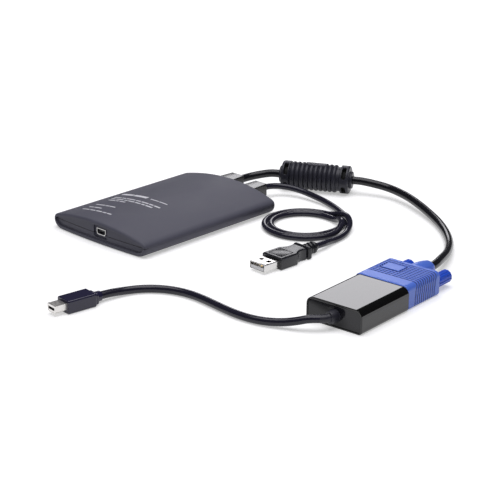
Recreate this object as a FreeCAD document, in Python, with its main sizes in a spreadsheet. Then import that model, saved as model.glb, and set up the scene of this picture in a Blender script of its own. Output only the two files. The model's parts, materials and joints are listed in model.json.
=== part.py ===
import FreeCAD, Part
import math
import os
import re

import Sketcher
from FreeCAD import Vector

# A pocket-sized KVM console with its captive video and USB leads. The video lead ends in a VGA
# plug, which is mated to a VGA-to-mini-DisplayPort adapter with a lead and plug of its own.
# Frame: origin under the middle of the console, +Y towards its lead end, +Z up. Millimetres.

SIZES = {
    # console housing
    "console_width": 81.0,
    "console_length": 112.5,
    "console_height": 14.0,
    "end_bulge": 2.0,
    "shoulder_height": 9.3,
    "shoulder_inset": 2.9,
    "base_inset": 5.0,
    "side_bulge": 3.9,
    "parting_height": 6.2,
    "console_wall": 1.8,
    "end_rim": 1.5,
    "end_recess": 0.9,
    # console screws, posts and board
    "screw_reach_x": 29.0,
    "screw_reach_y": 40.0,
    "post_radius": 3.0,
    "screw_head_radius": 1.9,
    "screw_head_height": 1.3,
    "screw_sink": 0.3,
    "screw_slot_length": 2.2,
    "screw_slot_width": 0.5,
    "screw_slot_depth": 0.5,
    "screw_radius": 1.0,
    "screw_clearance": 0.1,
    "screw_length": 8.0,
    "board_side_gap": 6.5,
    "board_front_gap": 12.75,
    "board_end_gap": 3.75,
    "board_thickness": 1.2,
    "board_top": 5.55,
    "chip_edge": 0.15,
    # mini-USB port of the console
    "port_x": 2.5,
    "port_width": 7.7,
    "port_foot_width": 6.2,
    "port_height": 3.9,
    "port_knee": 1.56,
    "port_depth": 9.0,
    "port_wall": 0.35,
    "port_notch_gap": 2.0,
    "port_recess_width": 12.0,
    "port_recess_height": 7.6,
    "port_recess_round": 1.8,
    "port_recess_depth": 1.0,
    "port_tongue_width": 4.2,
    "port_tongue_height": 0.9,
    # lead glands of the console
    "gland_z": 7.0,
    "gland_height": 7.0,
    "gland_neck_step": 0.8,
    "gland_chamfer": 1.0,
    "gland_flange": 1.2,
    "gland_flange_thickness": 1.5,
    "gland_clearance": 0.05,
    "gland_slack": 0.6,
    "vga_gland_x": -8.1,
    "vga_gland_width": 11.0,
    "vga_gland_reach": 16.0,
    "usb_gland_x": 13.9,
    "usb_gland_width": 10.0,
    "usb_gland_reach": 14.4,
    # leads
    "lead_straight": 6.0,
    "vga_cord_diameter": 5.2,
    "usb_cord_diameter": 3.9,
    "mdp_cord_diameter": 4.6,
    "coil_x": 71.3,
    "coil_y": 50.5,
    "coil_outer_radius": 27.9,
    "coil_inner_radius": 19.6,
    "coil_height": 4.3,
    "coil_round": 1.9,
    # ferrite choke on the video lead
    "choke_x": 6.9,
    "choke_y": 97.77,
    "choke_yaw": -61.4,
    "choke_diameter": 18.2,
    "choke_length": 48.0,
    "choke_collar_diameter": 11.0,
    "choke_collar_length": 1.7,
    "choke_edge": 0.9,
    "choke_band_length": 5.4,
    "choke_far_band": 7.6,
    "choke_rib_count": 10,
    "choke_groove_width": 1.2,
    "choke_groove_depth": 0.7,
    "choke_window_count": 4,
    "choke_window_turn": 45.0,
    "choke_window_length": 2.4,
    "choke_window_width": 7.0,
    "choke_window_depth": 1.6,
    "choke_window_margin": 1.1,
    "choke_plate_start": 16.9,
    "choke_plate_length": 14.4,
    "choke_plate_width": 6.4,
    "choke_plate_proud": 0.1,
    "choke_hole_radius": 0.6,
    "choke_hole_depth": 1.2,
    "choke_hole_inset": 0.8,
    "choke_core_diameter": 13.6,
    "choke_core_length": 31.0,
    "choke_bore_clearance": 0.1,
    "choke_core_clearance": 0.05,
    # adapter
    "adapter_x": 185.16,
    "adapter_y": -55.57,
    "adapter_yaw": 4.4,
    "adapter_width": 36.9,
    "adapter_length": 44.1,
    "adapter_height": 13.8,
    "adapter_top_round": 4.3,
    "adapter_foot_round": 1.4,
    "adapter_wall": 1.0,
    "adapter_cap": 1.4,
    "cap_plug_depth": 1.6,
    "cap_plug_wall": 1.2,
    "cap_clearance": 0.05,
    "adapter_board_width": 32.8,
    "board_margin": 1.0,
    "adapter_board_thickness": 1.2,
    "converter_width": 10.0,
    "converter_height": 1.2,
    # VGA plug and socket
    "connector_z": 5.8,
    "dsub_width": 16.92,
    "dsub_height": 8.36,
    "dsub_depth": 5.7,
    "dsub_slant": 1.45,
    "dsub_round": 1.8,
    "dsub_metal": 0.4,
    "dsub_clearance": 0.25,
    "dsub_flange_width": 30.8,
    "dsub_flange_height": 9.2,
    "dsub_flange_metal": 0.8,
    "dsub_face_gap": 0.15,
    "contact_radius": 0.5,
    "contact_pitch": 2.29,
    "contact_row_pitch": 1.98,
    "contact_bore_clearance": 0.1,
    "screw_pitch": 25.0,
    "nut_radius": 2.7,
    "nut_length": 5.4,
    "thread_clearance": 0.15,
    # VGA hood
    "hood_width": 35.8,
    "hood_height": 14.2,
    "hood_length": 31.4,
    "hood_top_round": 3.2,
    "hood_foot_round": 2.0,
    "hood_band_length": 8.2,
    "grip_count": 10,
    "grip_pitch": 2.05,
    "grip_width": 0.9,
    "grip_depth": 0.5,
    "pad_x": -6.6,
    "pad_y": 64.6,
    "pad_width": 10.0,
    "pad_length": 7.8,
    "pad_proud": 0.2,
    "insulator_pocket": 4.0,
    "pin_reach": 5.0,
    "boss_z": 7.1,
    "boss_diameter": 13.0,
    "boss_straight": 6.5,
    "boss_tip_diameter": 9.6,
    "boss_length": 15.8,
    # thumbscrews
    "thumbscrew_gap": 0.3,
    "thumbscrew_neck_radius": 2.9,
    "thumbscrew_neck_length": 2.0,
    "thumbscrew_radius": 3.9,
    "thumbscrew_length": 15.0,
    "thumbscrew_taper": 0.5,
    "flute_count": 12,
    "flute_radius": 0.55,
    "shank_radius": 1.4,
    "shank_grip": 8.0,
    "shank_clearance": 0.25,
    "shank_reach": 5.0,
    # strain relief of the adapter
    "relief_x": 0.5,
    "relief_root_radius": 3.7,
    "relief_root_length": 1.5,
    "relief_radius": 3.1,
    "relief_bend": 9.0,
    "relief_turn": 51.5,
    "relief_barb_radius": 4.6,
    "relief_barb_length": 1.5,
    # mini-DisplayPort plug
    "mdp_x": 65.4,
    "mdp_y": -150.34,
    "mdp_yaw": -7.25,
    "mdp_shell_width": 7.4,
    "mdp_shell_height": 4.5,
    "mdp_shell_chamfer": 1.1,
    "mdp_shell_exposed": 7.7,
    "mdp_shell_metal": 0.35,
    "mdp_tongue_width": 4.6,
    "mdp_tongue_height": 0.9,
    "mdp_grip_width": 11.0,
    "mdp_grip_length": 18.4,
    "mdp_grip_height": 8.0,
    "mdp_grip_round": 1.2,
    "mdp_collar_width": 8.4,
    "mdp_collar_height": 6.4,
    "mdp_collar_length": 2.6,
    "mdp_sleeve_radius": 3.1,
    "mdp_sleeve_length": 3.6,
    "mdp_cord_z": 3.6,
    # USB-A plug
    "usba_x": 101.2,
    "usba_y": -25.55,
    "usba_yaw": -2.34,
    "usba_shell_width": 12.0,
    "usba_shell_height": 4.5,
    "usba_shell_round": 0.5,
    "usba_shell_exposed": 12.05,
    "usba_shell_metal": 0.35,
    "usba_window_width": 2.2,
    "usba_window_pitch": 6.0,
    "usba_window_y": 6.2,
    "usba_tongue_height": 1.9,
    "usba_contact_pitch": 2.4,
    "usba_contact_width": 1.1,
    "usba_contact_thickness": 0.15,
    "usba_grip_width": 15.4,
    "usba_grip_height": 7.6,
    "usba_grip_length": 13.5,
    "usba_grip_round": 0.7,
    "usba_waist_length": 10.6,
    "usba_waist_width": 10.2,
    "usba_heel_width": 12.8,
    "usba_heel_length": 2.6,
    "usba_frame_margin": 2.2,
    "usba_frame_width": 0.5,
    "usba_frame_depth": 0.35,
    "usba_ring_count": 3,
    "usba_ring_pitch": 3.4,
    "usba_ring_width": 1.9,
    "usba_ring_diameter": 7.4,
    "usba_sleeve_diameter": 5.6,
    "usba_ring_shrink": 0.5,
    # fits between plug shells and what they hold
    "shell_seat": 4.0,
    "tongue_setback": 1.0,
}

# What stands on the console's board: width, depth and height, and the middle of its foot, as x and
# as how far it is set back from the board's lead end.
CHIPS = {
    "video_digitiser": (20.0, 20.0, 1.4, -8.0, 50.5),
    "usb_bridge": (10.0, 10.0, 1.1, 4.0, 80.5),
    "frame_memory": (12.6, 8.0, 1.1, -9.0, 24.5),
    "flash_memory": (5.2, 5.2, 1.6, 18.0, 66.5),
    "clock_crystal": (11.0, 4.6, 3.4, 18.0, 48.5),
    "video_header": (12.5, 4.4, 4.2, -8.0, 8.5),
    "usb_header": (9.6, 4.4, 4.2, 14.0, 8.5),
}
for chip, measures in CHIPS.items():
    for what, measure in zip(("width", "depth", "height", "x", "setback"), measures):
        SIZES[f"{chip}_{what}"] = measure

doc = FreeCAD.newDocument("KvmConsole")
dims = doc.addObject("Spreadsheet::Sheet", "Dims")
for row, (alias, value) in enumerate(SIZES.items(), start=1):
    dims.set(f"A{row}", alias)
    dims.set(f"B{row}", str(value))
    dims.setAlias(f"B{row}", alias)
doc.recompute()

nodes = {}


def number(expression):
    """The value in millimetres or degrees of an expression in the sheet's names."""
    return float(dims.evalExpression(str(expression)))


def linked(expression):
    """The same expression as another object of the document has to write it."""
    return re.sub(
        r"[a-z]\w*",
        lambda word: f"Dims.{word.group(0)}" if word.group(0) in SIZES else word.group(0),
        str(expression),
    )


def bind(thing, **properties):
    """Ties properties of an object to expressions in the sheet's names."""
    for name, expression in properties.items():
        thing.setExpression(name.replace("__", "."), linked(expression))


def keep(thing, label):
    """Names a finished sub-part. Its label is also the name of its file."""
    thing.Label = label
    nodes[label] = thing
    return thing


# Each group of pieces is drawn in a frame of its own: its origin and its turn about +Z.
FRAMES = {
    "console": ("0", "0", "0"),
    "coil": ("coil_x", "coil_y", "0"),
    "choke": ("choke_x", "choke_y", "choke_yaw"),
    "adapter": ("adapter_x", "adapter_y", "adapter_yaw"),
    "mdp": ("mdp_x", "mdp_y", "mdp_yaw"),
    "usba": ("usba_x", "usba_y", "usba_yaw"),
}


def world(frame, x="0", y="0", z="0"):
    """Expressions for a frame's own point (x, y, z) in the part's frame."""
    left, front, yaw = FRAMES[frame]
    across = f"({left}) + ({x}) * cos(({yaw}) * 1deg) - ({y}) * sin(({yaw}) * 1deg)"
    along = f"({front}) + ({x}) * sin(({yaw}) * 1deg) + ({y}) * cos(({yaw}) * 1deg)"
    return across, along, str(z)


def place(thing, frame, x="0", y="0", z="0"):
    """Seats an object at a point of a frame, turned with it."""
    across, along, up = world(frame, x, y, z)
    bind(
        thing,
        Placement__Base__x=across,
        Placement__Base__y=along,
        Placement__Base__z=up,
        Placement__Rotation__Angle=FRAMES[frame][2],
    )
    return thing


def body(name, frame="console", x="0", y="0", z="0"):
    return place(doc.addObject("PartDesign::Body", name), frame, x, y, z)


def sketch(owner, plane, start="0"):
    """A sketch on one of a body's own planes, moved along +X, +Y or +Z to start."""
    flat = next(f for f in owner.Origin.OriginFeatures if f.Role == plane + "_Plane")
    drawing = owner.newObject("Sketcher::SketchObject", owner.Name + "Sketch")
    drawing.AttachmentSupport = (flat, [""])
    drawing.MapMode = "FlatFace"
    side = "-1" if plane == "XZ" else "1"
    bind(drawing, AttachmentOffset__Base__z=f"({start}) * ({side})")
    return drawing


def tie(drawing, kind, expression, *where):
    """One dimension of a sketch, tied to an expression."""
    index = drawing.addConstraint(Sketcher.Constraint(kind, *where, number(expression)))
    drawing.setExpression(f"Constraints[{index}]", linked(expression))


def outline(drawing, corners):
    """A closed outline. A corner is (x, y), or (x, y, bulge) where the way to the next corner is an
    arc that stands that far off to the right or, below zero, to the left."""
    first = len(drawing.Geometry)
    count = len(corners)
    spots = [Vector(number(c[0]), number(c[1]), 0) for c in corners]
    for i, corner in enumerate(corners):
        here, there = spots[i], spots[(i + 1) % count]
        if len(corner) == 2:
            drawing.addGeometry(Part.LineSegment(here, there))
            continue
        chord = there - here
        side = Vector(chord.y, -chord.x, 0).normalize() * number(corner[2])
        drawing.addGeometry(Part.Arc(here, (here + there) / 2 + side, there))
    for i, corner in enumerate(corners):
        # an arc of a sketch runs anticlockwise, so one that was drawn clockwise is turned round
        clockwise = len(corner) == 3 and number(corner[2]) < 0
        start = 2 if clockwise else 1
        after = corners[(i + 1) % count]
        next_start = 2 if len(after) == 3 and number(after[2]) < 0 else 1
        following = first + (i + 1) % count
        drawing.addConstraint(
            Sketcher.Constraint("Coincident", first + i, 3 - start, following, next_start)
        )
        tie(drawing, "DistanceX", corner[0], -1, 1, first + i, start)
        tie(drawing, "DistanceY", corner[1], -1, 1, first + i, start)
        if len(corner) == 3:
            span = f"(({after[0]}) - ({corner[0]}))^2 + (({after[1]}) - ({corner[1]}))^2"
            rise = f"abs({corner[2]})"
            tie(drawing, "Radius", f"({span}) / (8 * {rise}) + {rise} / 2", first + i)


def circle(drawing, x, y, radius):
    index = drawing.addGeometry(
        Part.Circle(Vector(number(x), number(y), 0), Vector(0, 0, 1), number(radius))
    )
    tie(drawing, "DistanceX", x, -1, 1, index, 3)
    tie(drawing, "DistanceY", y, -1, 1, index, 3)
    tie(drawing, "Radius", radius, index)


def rectangle(left, low, right, high):
    return [(left, low), (right, low), (right, high), (left, high)]


def rounded(left, low, right, high, foot, top):
    """A rectangle with its two lower corners rounded by foot and its two upper ones by top."""
    turn = "0.29289"  # how far a quarter arc of radius 1 stands off its chord
    return [
        (f"({left}) + ({foot})", low),
        (f"({right}) - ({foot})", low, f"({foot}) * {turn}"),
        (right, f"({low}) + ({foot})"),
        (right, f"({high}) - ({top})", f"({top}) * {turn}"),
        (f"({right}) - ({top})", high),
        (f"({left}) + ({top})", high, f"({top}) * {turn}"),
        (left, f"({high}) - ({top})"),
        (left, f"({low}) + ({foot})", f"({foot}) * {turn}"),
    ]


def plane_of(drawing):
    return drawing.AttachmentSupport[0][0].Role


def pad(owner, drawing, length):
    """Adds a prism from the sketch towards +X, +Y or +Z."""
    feature = owner.newObject("PartDesign::Pad", owner.Name + "Pad")
    feature.Profile = drawing
    feature.Reversed = plane_of(drawing) == "XZ_Plane"
    bind(feature, Length=length)
    drawing.Visibility = False
    doc.recompute()
    return feature


def pocket(owner, drawing, length):
    """Cuts a prism from the sketch towards +X, +Y or +Z."""
    before = owner.Shape.Volume
    feature = owner.newObject("PartDesign::Pocket", owner.Name + "Pocket")
    feature.Profile = drawing
    feature.Reversed = plane_of(drawing) != "XZ_Plane"
    bind(feature, Length=length)
    drawing.Visibility = False
    doc.recompute()
    if not owner.Shape.Volume < before:
        raise ValueError(f"{feature.Name} cuts nothing")
    return feature


def turned(owner, drawing, kind="PartDesign::Revolution"):
    """Turns a sketch about its own vertical axis, to add it or, as a Groove, to cut it."""
    feature = owner.newObject(kind, owner.Name + "Turned")
    feature.Profile = drawing
    feature.ReferenceAxis = (drawing, ["V_Axis"])
    feature.Angle = 360
    drawing.Visibility = False
    doc.recompute()
    return feature


def row(owner, features, count, pitch, axis="Y"):
    """Repeats features of a body in a straight row along one of its axes."""
    line = next(f for f in owner.Origin.OriginFeatures if f.Role == axis + "_Axis")
    pattern = owner.newObject("PartDesign::LinearPattern", owner.Name + "Row")
    pattern.Originals = features
    pattern.Direction = (line, [""])
    bind(pattern, Length=f"({pitch}) * (({count}) - 1)", Occurrences=count)
    owner.Tip = pattern
    doc.recompute()
    return pattern


def ring(owner, features, count, axis="Y"):
    """Repeats features of a body all round one of its axes."""
    line = next(f for f in owner.Origin.OriginFeatures if f.Role == axis + "_Axis")
    pattern = owner.newObject("PartDesign::PolarPattern", owner.Name + "Ring")
    pattern.Originals = features
    pattern.Axis = (line, [""])
    pattern.Angle = 360
    bind(pattern, Occurrences=count)
    owner.Tip = pattern
    doc.recompute()
    return pattern


TOUCH = 0.01  # two places nearer than this are the same place


def lowest(edge, axis):
    """The least x, y or z of an edge's ends."""
    return min(getattr(vertex.Point, axis) for vertex in edge.Vertexes)


def highest(edge, axis):
    return max(getattr(vertex.Point, axis) for vertex in edge.Vertexes)


def dress(owner, kind, size, wanted):
    """Fillets or chamfers the edges of a body's tip that wanted(edge) picks."""
    base = owner.Tip
    edges = [f"Edge{i}" for i, e in enumerate(base.Shape.Edges, start=1) if wanted(e)]
    feature = owner.newObject("PartDesign::" + kind, owner.Name + kind)
    feature.Base = (base, edges)
    bind(feature, **{"Radius" if kind == "Fillet" else "Size": size})
    doc.recompute()
    return feature


def block(name, length_x, length_y, length_z, x="0", y="0", z="0"):
    """A box centred on x, from y towards +Y and from z up."""
    box = doc.addObject("Part::Box", name)
    bind(
        box,
        Length=length_x,
        Width=length_y,
        Height=length_z,
        Placement__Base__x=f"({x}) - ({length_x}) / 2",
        Placement__Base__y=y,
        Placement__Base__z=z,
    )
    return box


def rod(name, radius, length, x="0", y="0", z="0", along="Z"):
    """A cylinder from (x, y, z) towards +Z or +Y."""
    cylinder = doc.addObject("Part::Cylinder", name)
    if along == "Y":
        cylinder.Placement.Rotation = FreeCAD.Rotation(Vector(1, 0, 0), -90)
    bind(
        cylinder,
        Radius=radius,
        Height=length,
        Placement__Base__x=x,
        Placement__Base__y=y,
        Placement__Base__z=z,
    )
    return cylinder


def cut(name, base, *tools):
    """The base less each of the tools."""
    for number_of_cut, tool in enumerate(tools, start=1):
        result = doc.addObject("Part::Cut", f"{name}{number_of_cut}")
        result.Base = base
        result.Tool = tool
        base = result
    doc.recompute()
    return base


def common(name, base, tool):
    result = doc.addObject("Part::Common", name)
    result.Base = base
    result.Tool = tool
    doc.recompute()
    return result


def fuse(name, *shapes):
    result = doc.addObject("Part::MultiFuse", name)
    result.Shapes = list(shapes)
    result.Refine = True
    doc.recompute()
    return result


def group(name, *shapes):
    """Several like pieces in one node, such as a row of pins."""
    result = doc.addObject("Part::Compound", name)
    result.Links = list(shapes)
    doc.recompute()
    return result


# ---------------------------------------------------------------- console housing
def console_section(name, inset):
    """The arched section of the console, inset all round, as a prism along Y."""
    owner = body(name)
    half = "(console_width / 2 - base_inset)"
    shoulder = f"(console_width / 2 - shoulder_inset - 0.33 * ({inset}))"
    low = str(inset)
    high = f"(shoulder_height - 0.95 * ({inset}))"
    side = f"(side_bulge - 0.84 * ({inset}))"
    crown = f"(console_height - ({inset}) - {high})"
    drawing = sketch(owner, "XZ", "-console_length / 2 - 2 * end_bulge")
    outline(
        drawing,
        [
            (f"-{half}", low),
            (half, low, side),
            (shoulder, high, crown),
            (f"-{shoulder}", high, side),
        ],
    )
    pad(owner, drawing, "console_length + 4 * end_bulge")
    return owner


def console_plan(name, inset):
    """The console from above, with its two bowed ends set in, as a prism along Z."""
    owner = body(name)
    side = "(console_width / 2 + end_bulge)"
    end = f"(console_length / 2 - ({inset}))"
    drawing = sketch(owner, "XY", "-end_bulge")
    outline(
        drawing,
        [
            (side, f"-{end}"),
            (side, end, "end_bulge"),
            (f"-{side}", end),
            (f"-{side}", f"-{end}", "end_bulge"),
        ],
    )
    pad(owner, drawing, "console_height + 2 * end_bulge")
    return owner


def screw_places():
    for x in ("-screw_reach_x", "screw_reach_x"):
        for y in ("-screw_reach_y", "screw_reach_y"):
            yield x, y


END_FACE = "(console_length / 2 + end_bulge - end_recess)"  # at the middle of the width
BOARD_UNDER = "(board_top - board_thickness)"


def console_housing():
    """Two half shells that part along the end faces, on four posts that clamp the board."""
    solid = common("ConsoleSolid", console_section("OuterSection", "0"), console_plan("OuterPlan", "0"))
    rims = cut("ConsoleRims", console_section("RimSection", "end_rim"), console_plan("RimPlan", "end_recess"))
    hollow = common(
        "ConsoleHollow",
        console_section("InnerSection", "console_wall"),
        console_plan("InnerPlan", "end_recess + console_wall"),
    )
    port_recess = body("PortRecess")
    drawing = sketch(port_recess, "XZ", "-console_length / 2 - end_bulge")
    outline(
        drawing,
        rounded(
            "port_x - port_recess_width / 2",
            "board_top + port_height / 2 - port_recess_height / 2",
            "port_x + port_recess_width / 2",
            "board_top + port_height / 2 + port_recess_height / 2",
            "port_recess_round",
            "port_recess_round",
        ),
    )
    pad(port_recess, drawing, "end_recess + port_recess_depth")
    port_hole = body("PortHole")
    drawing = sketch(port_hole, "XZ", "-console_length / 2 - end_bulge")
    outline(drawing, port_outline("gland_clearance"))
    pad(port_hole, drawing, "end_recess + console_wall + end_bulge")
    holes = [
        block(
            name,
            f"{width} - 2 * gland_neck_step + 2 * gland_clearance",
            "console_wall + 2 * end_bulge",
            "gland_height - 2 * gland_neck_step + 2 * gland_clearance",
            x,
            "console_length / 2 - end_recess - console_wall",
            "gland_z - gland_height / 2 + gland_neck_step - gland_clearance",
        )
        for name, width, x in (
            ("VgaGlandHole", "vga_gland_width", "vga_gland_x"),
            ("UsbGlandHole", "usb_gland_width", "usb_gland_x"),
        )
    ]
    shell = cut("ConsoleShell", solid, rims, hollow, port_recess, port_hole, *holes)

    posts, lower_cuts, bosses, upper_cuts = [], [], [], []
    for i, (x, y) in enumerate(screw_places()):
        posts.append(
            rod(f"Post{i}", "post_radius", f"{BOARD_UNDER} - console_wall / 2", x, y, "console_wall / 2")
        )
        lower_cuts.append(rod(f"PostBore{i}", "screw_radius + screw_clearance", BOARD_UNDER, x, y))
        lower_cuts.append(
            rod(f"HeadSink{i}", "screw_head_radius + screw_clearance", "screw_sink + screw_head_height", x, y)
        )
        bosses.append(
            rod(f"Boss{i}", "post_radius", "console_height - board_top", x, y, "board_top")
        )
        upper_cuts.append(
            rod(f"BossBore{i}", "screw_radius + screw_clearance", "screw_length", x, y, "screw_sink")
        )
    wide, long = "2 * console_width", "2 * console_length"
    below = block("BelowParting", wide, long, "parting_height", y="-console_length")
    above = block("AboveParting", wide, long, "console_height", "0", "-console_length", "parting_height")
    lower = common("LowerShell", shell, below)
    keep(cut("BottomShell", fuse("LowerPosts", lower, *posts), *lower_cuts), "console_bottom_shell")
    inside = console_section("BossTrim", "console_wall / 2")
    upper = common("UpperShell", shell, above)
    bosses_in = common("BossesInside", fuse("Bosses", *bosses), inside)
    keep(cut("TopShell", fuse("UpperBosses", upper, bosses_in), *upper_cuts), "console_top_shell")


def console_screws():
    """Four self-tapping screws, sunk into the underside."""
    screws = []
    for i, (x, y) in enumerate(screw_places()):
        head = rod(f"ScrewHead{i}", "screw_head_radius", "screw_head_height", x, y, "screw_sink")
        shaft = rod(f"ScrewShaft{i}", "screw_radius", "screw_length", x, y, "screw_sink")
        slots = []
        arms = ("screw_slot_length", "screw_slot_width")
        for arm, wide, deep in (("X", *arms), ("Y", *reversed(arms))):
            slots.append(
                block(
                    f"ScrewSlot{arm}{i}",
                    wide,
                    deep,
                    "screw_slot_depth",
                    x,
                    f"({y}) - {deep} / 2",
                    "screw_sink",
                )
            )
        screws.append(cut(f"Screw{i}", fuse(f"ScrewBlank{i}", head, shaft), *slots))
    keep(group("ConsoleScrews", *screws), "console_screws")


# ---------------------------------------------------------------- console electronics
def port_outline(grow):
    """The mini-USB opening: wide above, narrow at the foot, grown all round."""
    wide = f"(port_width / 2 + ({grow}))"
    narrow = f"(port_foot_width / 2 + ({grow}))"
    low = f"(board_top - ({grow}))"
    knee = "(board_top + port_knee)"
    high = f"(board_top + port_height + ({grow}))"
    return [
        (f"port_x - {narrow}", low),
        (f"port_x + {narrow}", low),
        (f"port_x + {wide}", knee),
        (f"port_x + {wide}", high),
        (f"port_x - {wide}", high),
        (f"port_x - {wide}", knee),
    ]


PORT_FRONT = f"(-{END_FACE} + port_recess_depth)"


def mini_usb_port():
    """A drawn steel shell round a plastic tongue, standing on the front edge of the board."""
    shell = body("PortShell")
    drawing = sketch(shell, "XZ", PORT_FRONT)
    outline(drawing, port_outline("0"))
    pad(shell, drawing, "port_depth")
    drawing = sketch(shell, "XZ", PORT_FRONT)
    outline(drawing, port_outline("-port_wall"))
    pocket(shell, drawing, "port_depth - port_wall")
    keep(shell, "mini_usb_shell")
    tongue = block(
        "PortTongue",
        "port_tongue_width",
        "port_depth - port_wall - tongue_setback",
        "port_tongue_height",
        "port_x",
        f"{PORT_FRONT} + tongue_setback",
        "board_top + port_height / 2",
    )
    keep(tongue, "mini_usb_tongue")


def console_board():
    """The main board on its four posts, with the digitiser, USB bridge, memory and headers."""
    front, end = "(-console_length / 2 + board_front_gap)", "(console_length / 2 - board_end_gap)"
    plate = block(
        "BoardPlate",
        "console_width - 2 * board_side_gap",
        f"{end} - {front}",
        "board_thickness",
        "0",
        front,
        BOARD_UNDER,
    )
    holes = [
        rod(f"BoardHole{i}", "screw_radius + screw_clearance", "board_top", x, y, "board_thickness")
        for i, (x, y) in enumerate(screw_places())
    ]
    notch = block(
        "PortNotch",
        "port_width + 2 * port_notch_gap",
        "port_depth",
        "2 * board_thickness",
        "port_x",
        f"{PORT_FRONT} - port_depth + console_wall",
        f"{BOARD_UNDER} - board_thickness / 2",
    )
    keep(cut("MainBoard", plate, notch, *holes), "main_board")

    for label in CHIPS:
        piece = body(label.title().replace("_", ""))
        half_x, half_y = f"{label}_width / 2", f"{label}_depth / 2"
        middle = f"({end} - {label}_setback)"
        drawing = sketch(piece, "XY", "board_top")
        outline(
            drawing,
            rectangle(
                f"{label}_x - {half_x}",
                f"{middle} - {half_y}",
                f"{label}_x + {half_x}",
                f"{middle} + {half_y}",
            ),
        )
        pad(piece, drawing, f"{label}_height")
        top = number(f"board_top + {label}_height")
        dress(piece, "Chamfer", "chip_edge", lambda edge: lowest(edge, "z") > top - TOUCH)
        keep(piece, label)


# ---------------------------------------------------------------- glands
def gland(label, x, width, reach):
    """A moulded block that grips the lead: chamfered outside, a neck in the wall, a flange inside."""
    name = label.title().replace("_", "")
    half, tall, edge = f"({width} / 2)", "(gland_height / 2)", "gland_chamfer"
    owner = body(name, "console", x, END_FACE, "gland_z")
    drawing = sketch(owner, "XZ", "0")
    outline(
        drawing,
        [
            (f"-{half} + {edge}", f"-{tall}"),
            (f"{half} - {edge}", f"-{tall}"),
            (half, f"-{tall} + {edge}"),
            (half, f"{tall} - {edge}"),
            (f"{half} - {edge}", tall),
            (f"-{half} + {edge}", tall),
            (f"-{half}", f"{tall} - {edge}"),
            (f"-{half}", f"-{tall} + {edge}"),
        ],
    )
    pad(owner, drawing, reach)
    end = number(reach)
    dress(owner, "Chamfer", "gland_chamfer", lambda edge: lowest(edge, "y") > end - TOUCH)
    neck_x, neck_z = f"({half} - gland_neck_step)", f"({tall} - gland_neck_step)"
    drawing = sketch(owner, "XZ", "-console_wall - gland_slack")
    outline(drawing, rectangle(f"-{neck_x}", f"-{neck_z}", neck_x, neck_z))
    pad(owner, drawing, "console_wall + gland_slack")
    flange_x = f"({neck_x} + gland_flange)"
    drawing = sketch(owner, "XZ", "-console_wall - gland_slack - gland_flange_thickness")
    outline(drawing, rectangle(f"-{flange_x}", f"-{neck_z}", flange_x, neck_z))
    pad(owner, drawing, "gland_flange_thickness")
    keep(owner, label)


# ---------------------------------------------------------------- leads
def tube(label, route, diameter):
    """A lead: straight runs joined by the largest tangent arcs that its runs allow."""
    edges, radii, here = [], [], route[0]
    for before, corner, after in zip(route, route[1:], route[2:]):
        into, out = corner - before, after - corner
        turn = into.getAngle(out)
        reach = 0.45 * min(into.Length, out.Length)
        radius = reach / math.tan(turn / 2)
        into.normalize()
        out.normalize()
        inward = (out - into).normalize()
        middle = corner + inward * (radius / math.cos(turn / 2) - radius)
        begin, end = corner - into * reach, corner + out * reach
        edges.append(Part.LineSegment(here, begin).toShape())
        edges.append(Part.Arc(begin, middle, end).toShape())
        radii.append(radius)
        here = end
    edges.append(Part.LineSegment(here, route[-1]).toShape())
    path = Part.Wire(edges)
    size = number(diameter)
    section = Part.Wire(Part.Circle(route[0], route[1] - route[0], size / 2).toShape())
    lead = doc.addObject("Part::Feature", label.title().replace("_", ""))
    lead.Shape = path.makePipeShell([section], True, False)
    expected = math.pi * size**2 / 4 * path.Length
    print(
        f"{label}: {path.Length:.1f} mm, volume {lead.Shape.Volume / expected:.4f} of section x length,"
        f" radii {[round(r, 1) for r in radii]}, runs"
        f" {[round((b - a).Length, 1) for a, b in zip(route, route[1:])]}"
    )
    return keep(lead, label)


def spot(frame, x="0", y="0", z="0"):
    return Vector(*(number(e) for e in world(frame, x, y, z)))


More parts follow.
